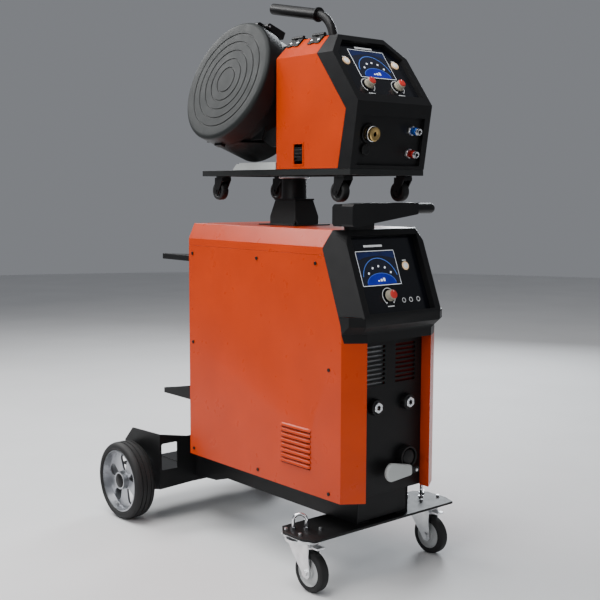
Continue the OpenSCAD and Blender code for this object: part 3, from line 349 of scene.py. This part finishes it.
def place_camera():
    """The fitted camera: CAMERA_TURN is its azimuth, pitch and roll in degrees."""
    azimuth, pitch, roll = (math.radians(v) for v in CAMERA_TURN)
    back = Vector((math.sin(azimuth) * math.cos(pitch), -math.cos(azimuth) * math.cos(pitch),
                   math.sin(pitch)))
    data = bpy.data.cameras.new("camera")
    data.lens = CAMERA_LENS
    camera = bpy.data.objects.new("camera", data)
    camera.rotation_mode = "QUATERNION"
    camera.location = CAMERA_PLACE
    turn = Matrix.Rotation(roll, 4, back).to_quaternion()
    camera.rotation_quaternion = turn @ (-back).to_track_quat("-Z", "Y")
    bpy.context.scene.collection.objects.link(camera)
    bpy.context.scene.camera = camera


def area_light(name, location, target, size, power, colour=(1, 1, 1)):
    """A rectangular lamp of this size in metres and power in watts, aimed at a target."""
    data = bpy.data.lights.new(name, "AREA")
    data.shape = "RECTANGLE"
    data.size, data.size_y = size
    data.energy = power
    data.color = colour
    lamp = bpy.data.objects.new(name, data)
    lamp.location = location
    lamp.rotation_euler = (Vector(target) - Vector(location)).to_track_quat("-Z", "Y").to_euler()
    bpy.context.scene.collection.objects.link(lamp)


def build_stage():
    """The plain floor, a grey world and five soft lamps."""
    bm = bmesh.new()
    bmesh.ops.create_circle(bm, cap_ends=True, radius=9, segments=96)
    mesh = bpy.data.meshes.new("floor")
    bm.to_mesh(mesh)
    bm.free()
    mesh.materials.append(FLOOR)
    floor = bpy.data.objects.new("floor", mesh)
    bpy.context.scene.collection.objects.link(floor)
    world = bpy.data.worlds.new("studio")
    world.use_nodes = True
    world.node_tree.nodes["Background"].inputs["Color"].default_value = (0.50, 0.52, 0.56, 1)
    world.node_tree.nodes["Background"].inputs["Strength"].default_value = 0.42
    bpy.context.scene.world = world
    middle = (0, 0, 0.8)
    area_light("key", (-2.9, -0.9, 2.0), middle, (1.5, 1.5), 40)
    area_light("top", (-1.1, 0.1, 3.3), middle, (2.2, 2.0), 110)
    area_light("back_left", (-0.9, 2.8, 3.0), (-0.1, 0, 1.0), (2.8, 0.9), 120)
    area_light("rim", (2.8, 1.6, 2.0), middle, (1.2, 2.0), 80, (0.9, 0.95, 1.0))
    area_light("front", (0.6, -3.6, 1.9), middle, (2.0, 1.4), 10)


# ---- Cart ----

def joint_frame(name):
    """A frame at a joint: Z along its axis, X sideways to it."""
    axis = Vector(JOINTS[name]["axis"]).normalized()
    side = Vector((0, 0, 1)).cross(axis).normalized()
    return axes_matrix(JOINTS[name]["pos_m"], side, axis.cross(side), axis)


def build_cart():
    """The welded frame with its plates, axle, bolts and tie rings."""
    soften("base_rails", BLACK_PAINT, 1.0)
    soften("front_plate", BLACK_PAINT, 1.6)
    soften("axle_bracket", BLACK_PAINT, 1.2)
    soften("bottle_platform", BLACK_PAINT, 0.9)
    soften("bottle_saddles", BLACK_PAINT, 0.9)
    soften("tie_rings", CHROME, 0.5)
    cabinet_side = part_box("left_side_panel")[0].x

    def is_side_screw(centre):
        return abs(abs(centre.x) - abs(cabinet_side)) < 0.01 and centre.z > 0.2
    soften("hardware", ZINC, 0.5, pick=lambda c: not is_side_screw(c), name="axle_and_bolts")
    soften("hardware", BLACK_PAINT, 0.8, pick=is_side_screw, name="side_screws", replace=False)


def build_rear_wheel(side):
    """A grooved tyre, the CAD rim with rounded edges, and a hub cap on the outer side."""
    node = f"rear_wheel_{side}"
    m = joint_frame(node + "_spin")
    low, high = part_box(node)
    half = (high.x - low.x) / 2 / MM
    radius = (high.z - low.z) / 2 / MM
    bead = radius - 22.1
    crown = [(bead, 25), (bead + 4, half - 1.2), (radius - 13, half - 0.2), (radius - 6, half - 3.5),
             (radius - 2, half - 9), (radius - 0.3, half - 15)]
    tread = [(radius - 0.1, 15.4), (radius - 2.2, 14.8), (radius - 2.2, 12.4), (radius, 11.8),
             (radius, 1.6), (radius - 2.2, 1.0)]
    upper = crown + tread
    profile = upper + [(r, -h) for r, h in reversed(upper)]
    lathe(f"tyre_{side}", profile, m, RUBBER, node, "wheel_rubber", closed=True, seg=128, smooth=50)
    axle = Vector(JOINTS[node + "_spin"]["pos_m"])

    def inside_tyre(part):
        reach = max(math.hypot(v.co.y - axle.y, v.co.z - axle.z) for f in part for v in f.verts)
        return reach <= (bead + 1) * MM
    add_piece(f"rim_{side}", cad_copy(node, inside_tyre), Matrix.Identity(4), [RIM], node, "zinc_steel",
              bevel=1.2, replaces=(node,))
    cap = [(0, half - 2.4), (9, half - 3.0), (16, half - 5), (20.5, half - 7.4), (22, half - 10),
           (22, half - 13), (11, half - 13)]
    flip = Matrix.Scale(-1, 4, (0, 0, 1)) if side == "left" else Matrix.Identity(4)
    lathe(f"hub_cap_{side}", cap, m @ flip, BLACK_PLASTIC, node, "black_plastic", seg=64)


def build_front_caster(side):
    """A swivel fork with a rubber tread on a grey hub."""
    soften(f"front_fork_{side}", ZINC, 0.7)
    node = f"front_wheel_{side}"
    m = joint_frame(node + "_spin")
    low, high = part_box(node)
    r = (high.z - low.z) / 2 / MM
    half = (high.x - low.x) / 2 / MM
    edge = [(r - 15, half - 2.2), (r - 9, half - 1.4), (r - 4, half - 2.0), (r - 1, half - 5), (r, half - 9)]
    lathe(f"caster_tread_{side}", edge + [(a, -h) for a, h in reversed(edge)], m, RUBBER, node,
          "caster_tread", closed=True, smooth=50)
    hub = [(5.1, half), (12, half), (15.5, half - 1), (17, half - 7), (20, half - 8.5), (31, half - 8.5),
           (33.5, half - 6), (35, half - 2.6)]
    lathe(f"caster_hub_{side}", hub + [(a, -h) for a, h in reversed(hub)], m, HUB_GREY, node,
          "grey_plastic", closed=True, replaces=(node,), smooth=28)


def build_small_caster(place):
    """One of the feeder's four small casters."""
    soften("small_fork_" + place, BLACK_PAINT, 0.6)
    node = "small_wheel_" + place
    m = joint_frame(f"{node}_spin")
    low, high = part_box(node)
    r = (high.z - low.z) / 2 / MM
    half = (high.x - low.x) / 2 / MM
    edge = [(r - 8, half - 0.6), (r - 3.5, half), (r - 1, half - 2), (r, half - 5)]
    lathe("small_tread_" + place, edge + [(a, -h) for a, h in reversed(edge)], m, RUBBER, node,
          "caster_tread", closed=True, seg=64, smooth=50)
    hub = [(4.05, half), (8, half), (10, half - 3), (15, half - 3), (r - 8, half - 1)]
    lathe("small_hub_" + place, hub + [(a, -h) for a, h in reversed(hub)], m, BLACK_PLASTIC, node,
          "black_plastic", closed=True, seg=48, replaces=(node,))


# ---- Control panels ----

def slope_frame(joint, right, up):
    """A frame on a sloped panel: X right, Y up the slope, Z outwards, moved from the joint's place."""
    out = -Vector(JOINTS[joint]["axis"]).normalized()
    x = Vector((1, 0, 0))
    y = out.cross(x)
    origin = Vector(JOINTS[joint]["pos_m"]) + (x * right + y * up) * MM
    return axes_matrix(origin, x, y, out)


PRINT_SINK = 0.02
PRINT_RISE = 0.12


def print_flat(name, outline, m, face, body, rise=PRINT_RISE):
    """A flat white print that stands a little out of the panel's face."""
    prism(name, outline, face - PRINT_SINK, face + rise, m, PRINT, body, "control_panel")


def build_display(prefix, m, w, h, face, body):
    """A lit gauge display: border, dark ground, sky band, gauge arcs, dome and pointer marks."""
    def flat(name, outline, mat, layer):
        z = face + PRINT_RISE * layer
        prism(f"{prefix}_{name}", outline, z - PRINT_SINK, z + PRINT_RISE, m, mat, body, "control_panel")
    right, top, bottom = w / 2, h / 2, -h / 2
    flat("border", round_box(w, h, 2.5), SCREEN_WHITE, 0)
    flat("ground", round_box(w - 2.2, h - 2.2, 1.8), SCREEN_DARK, 1)
    flat("sky", [(2 - right, top - 20), (2 - right, top - 3), (right - 2, top - 3), (right - 2, top - 20),
                 *arc_points(0, top - 28, right - 2, 15, 25, 155)], SCREEN_NAVY, 2)
    flat("arc", arc_band(0, bottom + 12, right - 6, h - 30, 1.8, 12, 168), SCREEN_SKY, 3)
    flat("dial", arc_band(0, bottom + 10, right - 14, h - 45, 9.0, 20, 160), SCREEN_DARK, 3)
    flat("dome", [(right - 16, bottom + 2.5), *arc_points(0, bottom + 4, right - 16, 27, 2, 178),
                  (16 - right, bottom + 2.5)], SCREEN_BLUE, 4)
    flat("dome_edge", arc_band(0, bottom + 4, right - 16, 27, 1.1, 6, 174), SCREEN_SKY, 5)
    for i, angle in enumerate((148, 118, 90, 62, 32)):
        a = math.radians(angle)
        cx, cy = (right - 21) * math.cos(a), bottom + 12 + (h - 51) * math.sin(a)
        mark = [(cx - 3.2, cy - 1.6), (cx + 0.8, cy - 3.0), (cx + 3.4, cy + 1.2), (cx - 1.0, cy + 3.0)]
        flat(f"mark_{i}", mark, SCREEN_WHITE, 4)
    for i in range(3):
        x0 = -12 + 9 * i
        flat(f"bar_{i}", [(x0, bottom + 10), (x0 + 5.5, bottom + 10), (x0 + 5.5, bottom + 13 + 2.5 * i),
                          (x0, bottom + 13 + 2.5 * i)], SCREEN_WHITE, 6)


def build_knob(name, m, radius, low, high, body):
    """A ribbed cream knob with a red end cap and a pointer line."""
    lathe(name + "_grip", [(radius - 2, low), (radius, low + 0.8), (radius, low + 4), (radius - 1.4, low + 5),
                           (radius - 1.8, high - 4), (radius - 3, high - 3.2)], m, KNOB_GREY, body,
          "grey_knob", seg=144, ribs=24, rib=0.7, replaces=(body,), smooth=40)
    lathe(name + "_cap", [(radius - 3.6, high - 4), (radius - 3.2, high - 1.6), (radius - 4.6, high - 0.3),
                          (radius - 6, high), (0, high - 0.5)], m, KNOB_RED, body, "grey_knob", seg=64)
    prism(name + "_pointer", [(-0.6, radius - 8), (0.6, radius - 8), (0.6, radius - 4.4),
                              (-0.6, radius - 4.4)], high - 0.3, high + 0.15, m, PRINT, body, "grey_knob")


def build_scale(name, m, radius, face, body):
    """A printed arc with end ticks round a knob."""
    ends = (-55, 235)
    print_flat(name + "_arc", arc_band(0, 0, radius, radius, 1.3, *ends, 40), m, face, body)
    for i, angle in enumerate(ends):
        c, s = math.cos(math.radians(angle)), math.sin(math.radians(angle))
        tick = [(c * r - s * d, s * r + c * d) for r, d in
                ((radius - 3.5, -0.8), (radius + 1, -0.8), (radius + 1, 0.8), (radius - 3.5, 0.8))]
        print_flat(f"{name}_tick_{i}", tick, m, face, body, 0.14)


def print_mark(name, m, x, y, w, h, face, body):
    """A plain printed bar, centred on (x, y), where the machine has writing."""
    outline = [(x - w / 2, y - h / 2), (x + w / 2, y - h / 2),
               (x + w / 2, y + h / 2), (x - w / 2, y + h / 2)]
    print_flat(name, outline, m, face, body)


SOURCE_KNOB = (-20, 50)
SOURCE_FACE = -16
SOURCE_GLASS = -14.5
SOURCE_BUTTON_MID = 16.5


def build_source_panel():
    """The power source's panel: display, knob with scale, button and printed marks."""
    soften("source_panel", PANEL_FILM, 0.6)
    m = slope_frame("source_knob_turn", -SOURCE_KNOB[0], -SOURCE_KNOB[1])
    build_display("source_display", m @ Matrix.Translation((-32 * MM, 121 * MM, 0)), 129, 87,
                  SOURCE_GLASS, "root")
    knob = slope_frame("source_knob_turn", 0, 0)
    build_knob("source_knob", knob, 14, -14, 4, "source_knob")
    build_scale("source_scale", knob, 21, SOURCE_FACE, "root")
    button = button_frame("source_button", SOURCE_BUTTON_MID)
    build_button("source_button", button, -21, -12, SOURCE_FACE, "source_button", "root")
    print_mark("source_button_mark", button, 0, 14, 13, 2.2, SOURCE_FACE, "root")
    print_mark("source_title", m, -32, 177, 62, 5, SOURCE_FACE, "root")
    print_mark("source_knob_mark", knob, 0, -25, 22, 2.2, SOURCE_FACE, "root")
    for i, x in enumerate((28, 52, 78)):
        print_flat(f"source_icon_{i}", arc_band(x, 37, 6, 6, 1.2, 0, 359, 24), m, SOURCE_FACE, "root")


def button_frame(node, depth):
    """A frame like slope_frame on a button's axis, whose middle lies this deep in the slope."""
    low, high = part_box(node)
    out = -Vector(JOINTS[node + "_press"]["axis"]).normalized()
    x = Vector((1, 0, 0))
    return axes_matrix((low + high) / 2 + out * depth * MM, x, out.cross(x), out)


def build_button(name, m, low, high, face, body, panel_body):
    """A pale push button inside a raised ring that stays on the panel."""
    lathe(name + "_cap", [(7.2, low), (7.2, high - 1.2), (6.3, high - 0.3), (5, high), (0, high + 0.15)],
          m, PRINT, body, "pale_plastic", seg=64, replaces=(body,))
    lathe(name + "_ring", [(7.7, face), (7.7, face + 1.6), (8.6, face + 2.6), (9.8, face + 2.6),
                           (10.8, face + 1.4), (10.8, face)], m, CREAM, panel_body, "pale_plastic",
          closed=True, seg=64)


FEEDER_FACE = -11
FEEDER_GLASS = -9.5
FEEDER_KNOB = (50, 60)
FEEDER_BUTTON_MID = 12


def build_feeder_panel():
    """The feeder's panel: display, two knobs with scales, two buttons and printed marks."""
    soften("feeder_panel", PANEL_FILM, 0.6)
    m = slope_frame("feeder_knob_right_turn", -FEEDER_KNOB[0], -FEEDER_KNOB[1])
    build_display("feeder_display", m @ Matrix.Translation((0, 127 * MM, 0)), 119, 87, FEEDER_GLASS,
                  "feeder")
    for side in ("left", "right"):
        knob = slope_frame(f"feeder_knob_{side}_turn", 0, 0)
        build_knob(f"feeder_knob_{side}", knob, 13, -9, 9, f"feeder_knob_{side}")
        build_scale(f"feeder_scale_{side}", knob, 20, FEEDER_FACE, "feeder")
        print_mark(f"feeder_knob_mark_{side}", knob, 0, -25, 22, 2.4, FEEDER_FACE, "feeder")
        button = button_frame(f"feeder_button_{side}", FEEDER_BUTTON_MID)
        build_button(f"feeder_button_{side}", button, -17, -7, FEEDER_FACE, f"feeder_button_{side}",
                     "feeder")
        print_mark(f"feeder_button_mark_{side}", button, 0, 13, 12, 2.2, FEEDER_FACE, "feeder")
    print_mark("feeder_title", m, 0, 179, 58, 5, FEEDER_FACE, "feeder")


# ---- Power source cabinet ----

MOUNTS = {m["name"]: m for m in frame["record"]["mounts"]}


def mount_frame(name):
    """A frame at a mount: Z outwards along its axis, X to the right."""
    out = Vector(MOUNTS[name]["axis"]).normalized()
    x = Vector((1, 0, 0)) if abs(out.x) < 0.9 else Vector((0, 1, 0))
    return axes_matrix(MOUNTS[name]["pos_m"], x, out.cross(x), out)


def build_sockets():
    """The two output sockets, and the control socket with its hinged cap."""
    for side in ("left", "right"):
        m = mount_frame(f"output_socket_{side}")
        lathe(f"socket_collar_{side}", [(13.6, -4.4), (17.6, -3.6), (19.6, -4.6), (20.4, -7), (20.4, -18.4),
                                        (13.6, -18.4)], m, BLACK_PLASTIC, "root", "black_plastic",
              closed=True, ribs=16, rib=0.6, seg=128)
        lathe(f"socket_contact_{side}", [(6.5, -29), (6.5, -0.9), (7.4, 0), (12.3, 0), (13.4, -1.1),
                                         (13.4, -29)], m, CHROME, "root", "plated_metal", closed=True,
              ribs=6, rib=1.3, seg=144, replaces=("front_sockets",) if side == "left" else ())
    pivot = Vector(JOINTS["socket_cap_swing"]["pos_m"])
    x, z = Vector((1, 0, 0)), Vector((0, -1, 0))
    face = MOUNTS["output_socket_left"]["pos_m"][1] + 18.4 * MM
    m = axes_matrix((pivot.x - 14 * MM, face, pivot.z + 31 * MM), x, z.cross(x), z)
    lathe("control_socket_ring", [(23, 0.2), (23, 15), (24.5, 18.4), (27, 18.9), (28.6, 17.2), (29, 13),
                                  (29, 0.2)], m, BLACK_PLASTIC, "root", "black_plastic", closed=True,
          ribs=30, rib=0.5, seg=180)
    lathe("control_socket_floor", [(22.8, 0.2), (22.8, 2), (0, 2)], m, BLACK_PLASTIC, "root",
          "black_plastic")
    lathe("control_socket_plug", [(0, 18.2), (15, 17.8), (19, 16.4), (21, 13.5), (21.4, 2), (0, 2)], m,
          BLACK_PLASTIC, "root", "black_plastic", ribs=24, rib=0.5, seg=144)
    screw = axes_matrix(pivot, x, z.cross(x), z)
    lathe("cap_pivot_screw", [(3.9, -28), (3.9, 10.6), (3.2, 11), (0, 11)], screw, ZINC, "root",
          "zinc_steel", seg=32)
    cap = axes_matrix(pivot, x, Vector((0, 0, 1)), x.cross(Vector((0, 0, 1))))
    body = [(-16, 15.6), (-16, -10.5), *arc_points(-82, 7, 23.5, 23.5, 262, 98, 24)]
    prism("cap_body", body, -1.2, 12.2, cap, PALE, "socket_cap", "pale_plastic", bevel=5.5,
          replaces=("socket_cap",), smooth=50)
    prism("cap_strap", [(-20, 9), (-20, -7), (9, -7), (11, -4), (11, 4), (9, 7)], 2, 8, cap,
          BLACK_PLASTIC, "socket_cap", "black_plastic", bevel=1)


GRILLE_X = 52
GRILLE_DROP = 96
FINS = 34
FIN_PITCH = 2


def add_block(bm, centre, size):
    """Adds a box with its centre in metres and its size in mm."""
    shape = Matrix.Diagonal((*(v * MM for v in size), 1))
    bmesh.ops.create_cube(bm, size=1, matrix=Matrix.Translation(centre) @ shape)


def build_grilles():
    """Fin packs of the cooler behind the two front grilles; the right pack's dark red is painted shade, a darker
    copy of the orange paint.
    """
    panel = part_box("front_panel")[1]
    middle_z = panel.z - GRILLE_DROP * MM
    for side, mat in ((-1, ALUMINIUM), (1, SHADED_ORANGE_FINS)):
        bm = bmesh.new()
        for i in range(FINS):
            x = side * GRILLE_X - (FINS / 2 - 0.5) * FIN_PITCH + FIN_PITCH * i
            add_block(bm, (x * MM, panel.y + 9 * MM, middle_z), (0.7, 10, 108))
        add_block(bm, (side * GRILLE_X * MM, panel.y + 16 * MM, middle_z), (72, 4, 112))
        add_piece("cooler_fins_" + ("left" if side < 0 else "right"), bm, Matrix.Identity(4), [mat],
                  "root", "heatsink_aluminium")


LOUVRES = 8
LOUVRE_PITCH = 13
LOUVRE_LENGTH = 114
LOUVRE_START = 142
LOUVRE_MIDDLE = 66.5
LOUVRE_ROUND = 9
LOUVRE_SINK = 4
# (how far out, how high above the panel's lower edge) round one hood
LOUVRE_PROFILE = [(-0.4, 71.2), (0.6, 71.0), (2.4, 70.0), (4.2, 68.0), (5.2, 65.6), (5.6, 63.8),
                  (4.8, 62.7), (2.4, 62.3), (-0.4, 62.3)]


def build_louvres(side):
    """Rounded pressed hoods over the slots of a side panel."""
    low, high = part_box(side + "_side_panel")
    face = (low.x if side == "left" else high.x) / MM
    sign = -1 if side == "left" else 1
    front = low.y / MM + LOUVRE_START
    angles = [math.radians(a) for a in (4, 25, 45, 65, 90)]
    stations = [(math.sin(a), LOUVRE_ROUND * (1 - math.cos(a))) for a in angles]
    stations += [(swell, LOUVRE_LENGTH - along) for swell, along in reversed(stations)]
    bm = bmesh.new()
    for i in range(LOUVRES):
        rows = []
        for swell, along in stations:
            row = []
            for out, h in LOUVRE_PROFILE:
                x = face + sign * ((out * swell if out > 0 else out) - LOUVRE_SINK)
                height = LOUVRE_MIDDLE + (h - LOUVRE_MIDDLE) * (0.55 + 0.45 * swell) + LOUVRE_PITCH * i
                row.append(bm.verts.new((x * MM, (front + along) * MM, low.z + height * MM)))
            rows.append(row)
        for a, b in zip(rows, rows[1:]):
            for k in range(len(a) - 1):
                bm.faces.new((a[k], a[k + 1], b[k + 1], b[k]))
            bm.faces.new((a[-1], a[0], b[0], b[-1]))
        bm.faces.new(rows[0])
        bm.faces.new(rows[-1])
    add_piece(f"louvres_{side}", bm, Matrix.Identity(4), [ORANGE], "root", "orange_paint", smooth=60)


def build_cabinet():
    """The power source's panels, inside parts, handle and pivot."""
    for side in ("left", "right"):
        build_louvres(side)
    for node in ("left_side_panel", "right_side_panel", "top_cover"):
        soften(node, ORANGE, 0.7)
    for node in ("floor_pan", "rear_panel", "front_panel"):
        soften(node, BLACK_PAINT, 0.5)
    soften("hood", BLACK_PLASTIC, 2.4)
    soften("front_handle", BLACK_PLASTIC, 2.6)
    soften("transformer", CORE, 1.5)
    soften("inverter_module", ALUMINIUM, 0.4)
    soften("fan_rotor", BLACK_PLASTIC, 0.5)
    soften("power_switch", BLACK_PLASTIC, 1.2)
    soften("pivot_pedestal", DARK_STEEL, 0.9)
    soften("pivot_post", BLACK_PAINT, 1.0)
    build_sockets()
    build_grilles()
    build_source_panel()


# ---- Wire feeder ----

def build_torch_fittings():
    """The torch socket, the blanking cap and the two water couplers on the feeder's front."""
    m = mount_frame("torch_socket")
    length = MOUNTS["torch_socket"]["dims"]["length_mm"]

    def at(h):
        return h - length + 56
    lathe("torch_flange", [(17.2, at(-20)), (21.6, at(-20)), (23, at(-21.4)), (23, at(-25.9)),
                           (17.2, at(-25.9))], m, BLACK_PLASTIC, "feeder", "black_plastic", closed=True)
    lathe("torch_collar", [(5, at(-54)), (5, at(-2)), (6, at(-0.8)), (11, at(0)), (14.6, at(0)),
                           (16.6, at(-1.6)), (17, at(-4)), (17, at(-54))], m, BRASS, "feeder",
          "plated_metal", closed=True, seg=96, replaces=("torch_fittings",))
    lathe("torch_ring", [(17.05, at(-9)), (18.6, at(-9.6)), (18.6, at(-15.4)), (17.05, at(-16))], m, CHROME,
          "feeder", "plated_metal", closed=True, ribs=40, rib=0.5, seg=240)
    cap = m @ Matrix.Translation((-5 * MM, -38 * MM, 0))
    lathe("blank_cap", [(14, at(-25.9)), (14, at(-21)), (12.6, at(-19.4)), (10, at(-19)), (9, at(-20)),
                        (0, at(-20))], cap, BLACK_PLASTIC, "feeder", "black_plastic")
    for place, ring in (("upper", BLUE_RING), ("lower", RED_RING)):
        c = mount_frame(f"water_coupler_{place}")
        lathe(f"coupler_flange_{place}", [(5, -24), (11.4, -24), (12, -25), (12, -29.9), (5, -29.9)], c,
              ZINC, "feeder", "plated_metal", closed=True, ribs=6, rib=1.2, seg=96)
        lathe(f"coupler_ring_{place}", [(5, -9), (8.8, -9), (9.5, -10.2), (9.5, -21), (8.9, -23),
                                        (5, -23.9)], c, ring, "feeder", "plated_metal", closed=True,
              ribs=24, rib=0.35, seg=144)
        lathe(f"coupler_tip_{place}", [(4.5, -28), (4.5, -0.6), (5.4, 0), (7.4, 0), (8, -0.8), (8, -3),
                                       (7, -3.8), (7, -5.6), (8.2, -6.4), (8.2, -9.1), (5.2, -9.2),
                                       (5.2, -28)], c, CHROME, "feeder", "plated_metal", closed=True,
              seg=64)


def drum_frame():
    """The drum's frame: Z outwards along its axis, Y towards the rear, X up the face."""
    out = -Vector(JOINTS["spool_spin"]["axis"]).normalized()
    y = Vector((0, 1, 0))
    return axes_matrix(JOINTS["spool_spin"]["pos_m"], y.cross(out), y, out)


COVER_R = 163
COVER_DEPTH = 52
HINGE_UP = 172
HINGE_DEPTH = 57
GROOVES = (34, 58, 82, 106, 129)


def build_drum():
    """The hinged drum cover, the drum's shell and cradle, and the spool with its wound wire."""
    m = drum_frame()
    profile = [(0, -1.8)]
    dark = set()
    for r in GROOVES:
        dark.update(range(len(profile), len(profile) + 3))
        profile += [(r - 2.2, -1.8), (r - 1.2, -3.6), (r + 1.2, -3.6), (r + 2.2, -1.8)]
    profile += [(COVER_R - 12, -1.2)]
    profile += [(COVER_R - 11 + 11 * math.sin(math.radians(a)), -12.2 + 11 * math.cos(math.radians(a)))
                for a in range(15, 91, 15)]
    side_from = len(profile) - 3
    profile += [(COVER_R, -COVER_DEPTH), (COVER_R - 3, -COVER_DEPTH), (COVER_R - 3, -14),
                (COVER_R - 13, -5.6), (0, -5.6)]
    lathe("cover_dish", profile, m, None, "spool_cover", "grey_plastic", seg=160,
          mats=[GREY_PLASTIC, GROOVE, BLACK_PLASTIC], replaces=("spool_cover",),
          mat_of=lambda k: 2 if k >= side_from else (1 if k in dark else 0), smooth=40)
    hinge = m @ Matrix.Translation((HINGE_UP * MM, 0, -HINGE_DEPTH * MM))
    across = hinge @ Matrix.Rotation(math.radians(-90), 4, "X")
    lathe("cover_knuckle", [(7.9, -19.5), (7.9, 19.5)], across, BLACK_PLASTIC, "spool_cover",
          "black_plastic", seg=48, bevel=0.8)
    lathe("cover_hinge_pin", [(3, -44), (3, 44)], across, ZINC, "spool_cover", "zinc_steel", seg=32,
          bevel=0.5)
    prism("cover_hinge_leaf", [(-8.6, 0), (7.5, 0), (7.5, 17), (2, 23), (-9, 23)], -19.5, 19.5,
          hinge @ Matrix.Rotation(math.radians(90), 4, "X"), BLACK_PLASTIC, "spool_cover",
          "black_plastic", bevel=1.0)
    catch = m @ Matrix.Translation((-(COVER_R + 2) * MM, 0, -42 * MM))
    prism("cover_catch", round_box(6.5, 30, 2), -7, 7, catch, BLACK_PLASTIC, "spool_cover",
          "black_plastic", bevel=0.8)
    soften("drum_shell", BLACK_PLASTIC, 1.0)
    soften("drum_cradle", BLACK_PLASTIC, 1.2)
    near, far = 16, 116
    flange = [(25.1, -near), (149.4, -near), (150, -near - 0.8), (150, -near - 3.2), (149.4, -near - 4),
              (118, -near - 4), (118, -far + 4), (149.4, -far + 4), (150, -far + 3.2),
              (150, -far + 0.8), (149.4, -far), (25.1, -far)]
    lathe("spool_flanges", flange, m, PALE, "spool", "pale_plastic", closed=True, seg=128,
          replaces=("spool",))
    turns = 36
    pitch = (far - near - 8.6) / turns
    wound = [(118.1, -near - 4.2)]
    for i in range(turns):
        h = -near - 4.3 - pitch * i
        wound += [(131.0, h), (132.0, h - pitch / 2)]
    wound += [(131.0, -far + 4.3), (118.1, -far + 4.2)]
    lathe("wire_pack", wound, m, WIRE, "spool", "plated_metal", closed=True, seg=128, smooth=70)


HINGE_STARTS = (-283.05, -205.05)
HINGE_LENGTH = 42.6
HINGE_MARGIN = 0.7
DOOR_SLOPE = Vector((-0.722, 0, -0.692))
LEAF_THICK = 3.4


def build_door_hinges():
    """Black leaves with screws on both sides of the door's two hinges."""
    pivot = Vector(JOINTS["feeder_door_hinge"]["pos_m"])
    y = Vector((0, 1, 0))
    for i, start in enumerate(HINGE_STARTS):
        edge = Vector((pivot.x, start * MM, pivot.z - 5 * MM))
        leaves = (("door", "feeder_door", DOOR_SLOPE, y.cross(DOOR_SLOPE), 1, 4, 25),
                  ("shell", "feeder", Vector((1, 0, 0)), Vector((0, 0, 1)), -1, 5, 19))
        for name, body, along, up, turn, near, far in leaves:
            m = axes_matrix(edge, along, up, along.cross(up))
            z0, z1 = sorted((0, turn * HINGE_LENGTH))
            outline = [(near, 0.1), (far, 0.1), (far, LEAF_THICK), (near, LEAF_THICK + 1)]
            prism(f"hinge_leaf_{name}_{i}", outline, z0, z1, m, BLACK_PLASTIC, body, "black_plastic",
                  bevel=0.8)
            for k in (0.2, 0.8):
                head = edge + along * (far + near) / 2 * MM + up * LEAF_THICK * MM
                head += y * HINGE_LENGTH * k * MM
                lathe(f"hinge_screw_{name}_{i}_{int(10 * k)}",
                      [(3.2, 0), (3.0, 0.9), (1.8, 1.5), (0, 1.7)],
                      axes_matrix(head, along, up.cross(along), up), ZINC, body, "zinc_steel", seg=24)


def build_feeder():
    """The wire feeder: tray, shell, door, drive, panel, handle, drum and swivel ring."""
    soften("feeder_tray", DARK_STEEL, 1.2)
    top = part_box("feeder_shell")[1].z - 10 * MM
    soften("feeder_shell", [ORANGE, BLACK_PAINT], 0.8,
           regions=[((-1, -1, top + 0.3 * MM), (1, 1, 2), 1)])
    leaf_low = JOINTS["feeder_door_hinge"]["pos_m"][2] - 24 * MM
    leaves = [((-0.2, (start - HINGE_MARGIN) * MM, leaf_low),
               (0.2, (start + HINGE_LENGTH + HINGE_MARGIN) * MM, 2), 1) for start in HINGE_STARTS]
    soften("feeder_door", [ORANGE, BLACK_PAINT], 0.8, regions=leaves)
    soften("feeder_bezel", BLACK_PLASTIC, 2.6)
    soften("spool_bracket", PALE, 0.8)
    soften("wire_drive", ALUMINIUM, 0.8)
    soften("drive_roll", ZINC, 0.5)
    soften("pressure_arm", BLACK_PLASTIC, 0.8)
    soften("door_latch", BLACK_PLASTIC, 0.8)
    build_door_hinges()
    build_feeder_panel()
    build_torch_fittings()
    soften("feeder_handle", BLACK_PLASTIC, 1.0)
    build_drum()
    pivot = Vector(JOINTS["feeder_swivel"]["pos_m"])
    ring = axes_matrix((pivot.x, pivot.y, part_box("feeder_tray")[1].z), (1, 0, 0), (0, 1, 0), (0, 0, 1))
    lathe("swivel_ring", [(28.1, -20.6), (40, -20.6), (41, -19.6), (41, -16.4), (40, -15.4), (28.1, -15.4)],
          ring, ZINC, "feeder", "zinc_steel", closed=True, seg=96)


place_camera()
build_stage()
build_cart()
for which in ("left", "right"):
    build_rear_wheel(which)
    build_front_caster(which)
    for end in ("front", "rear"):
        build_small_caster(f"{end}_{which}")
build_cabinet()
build_feeder()
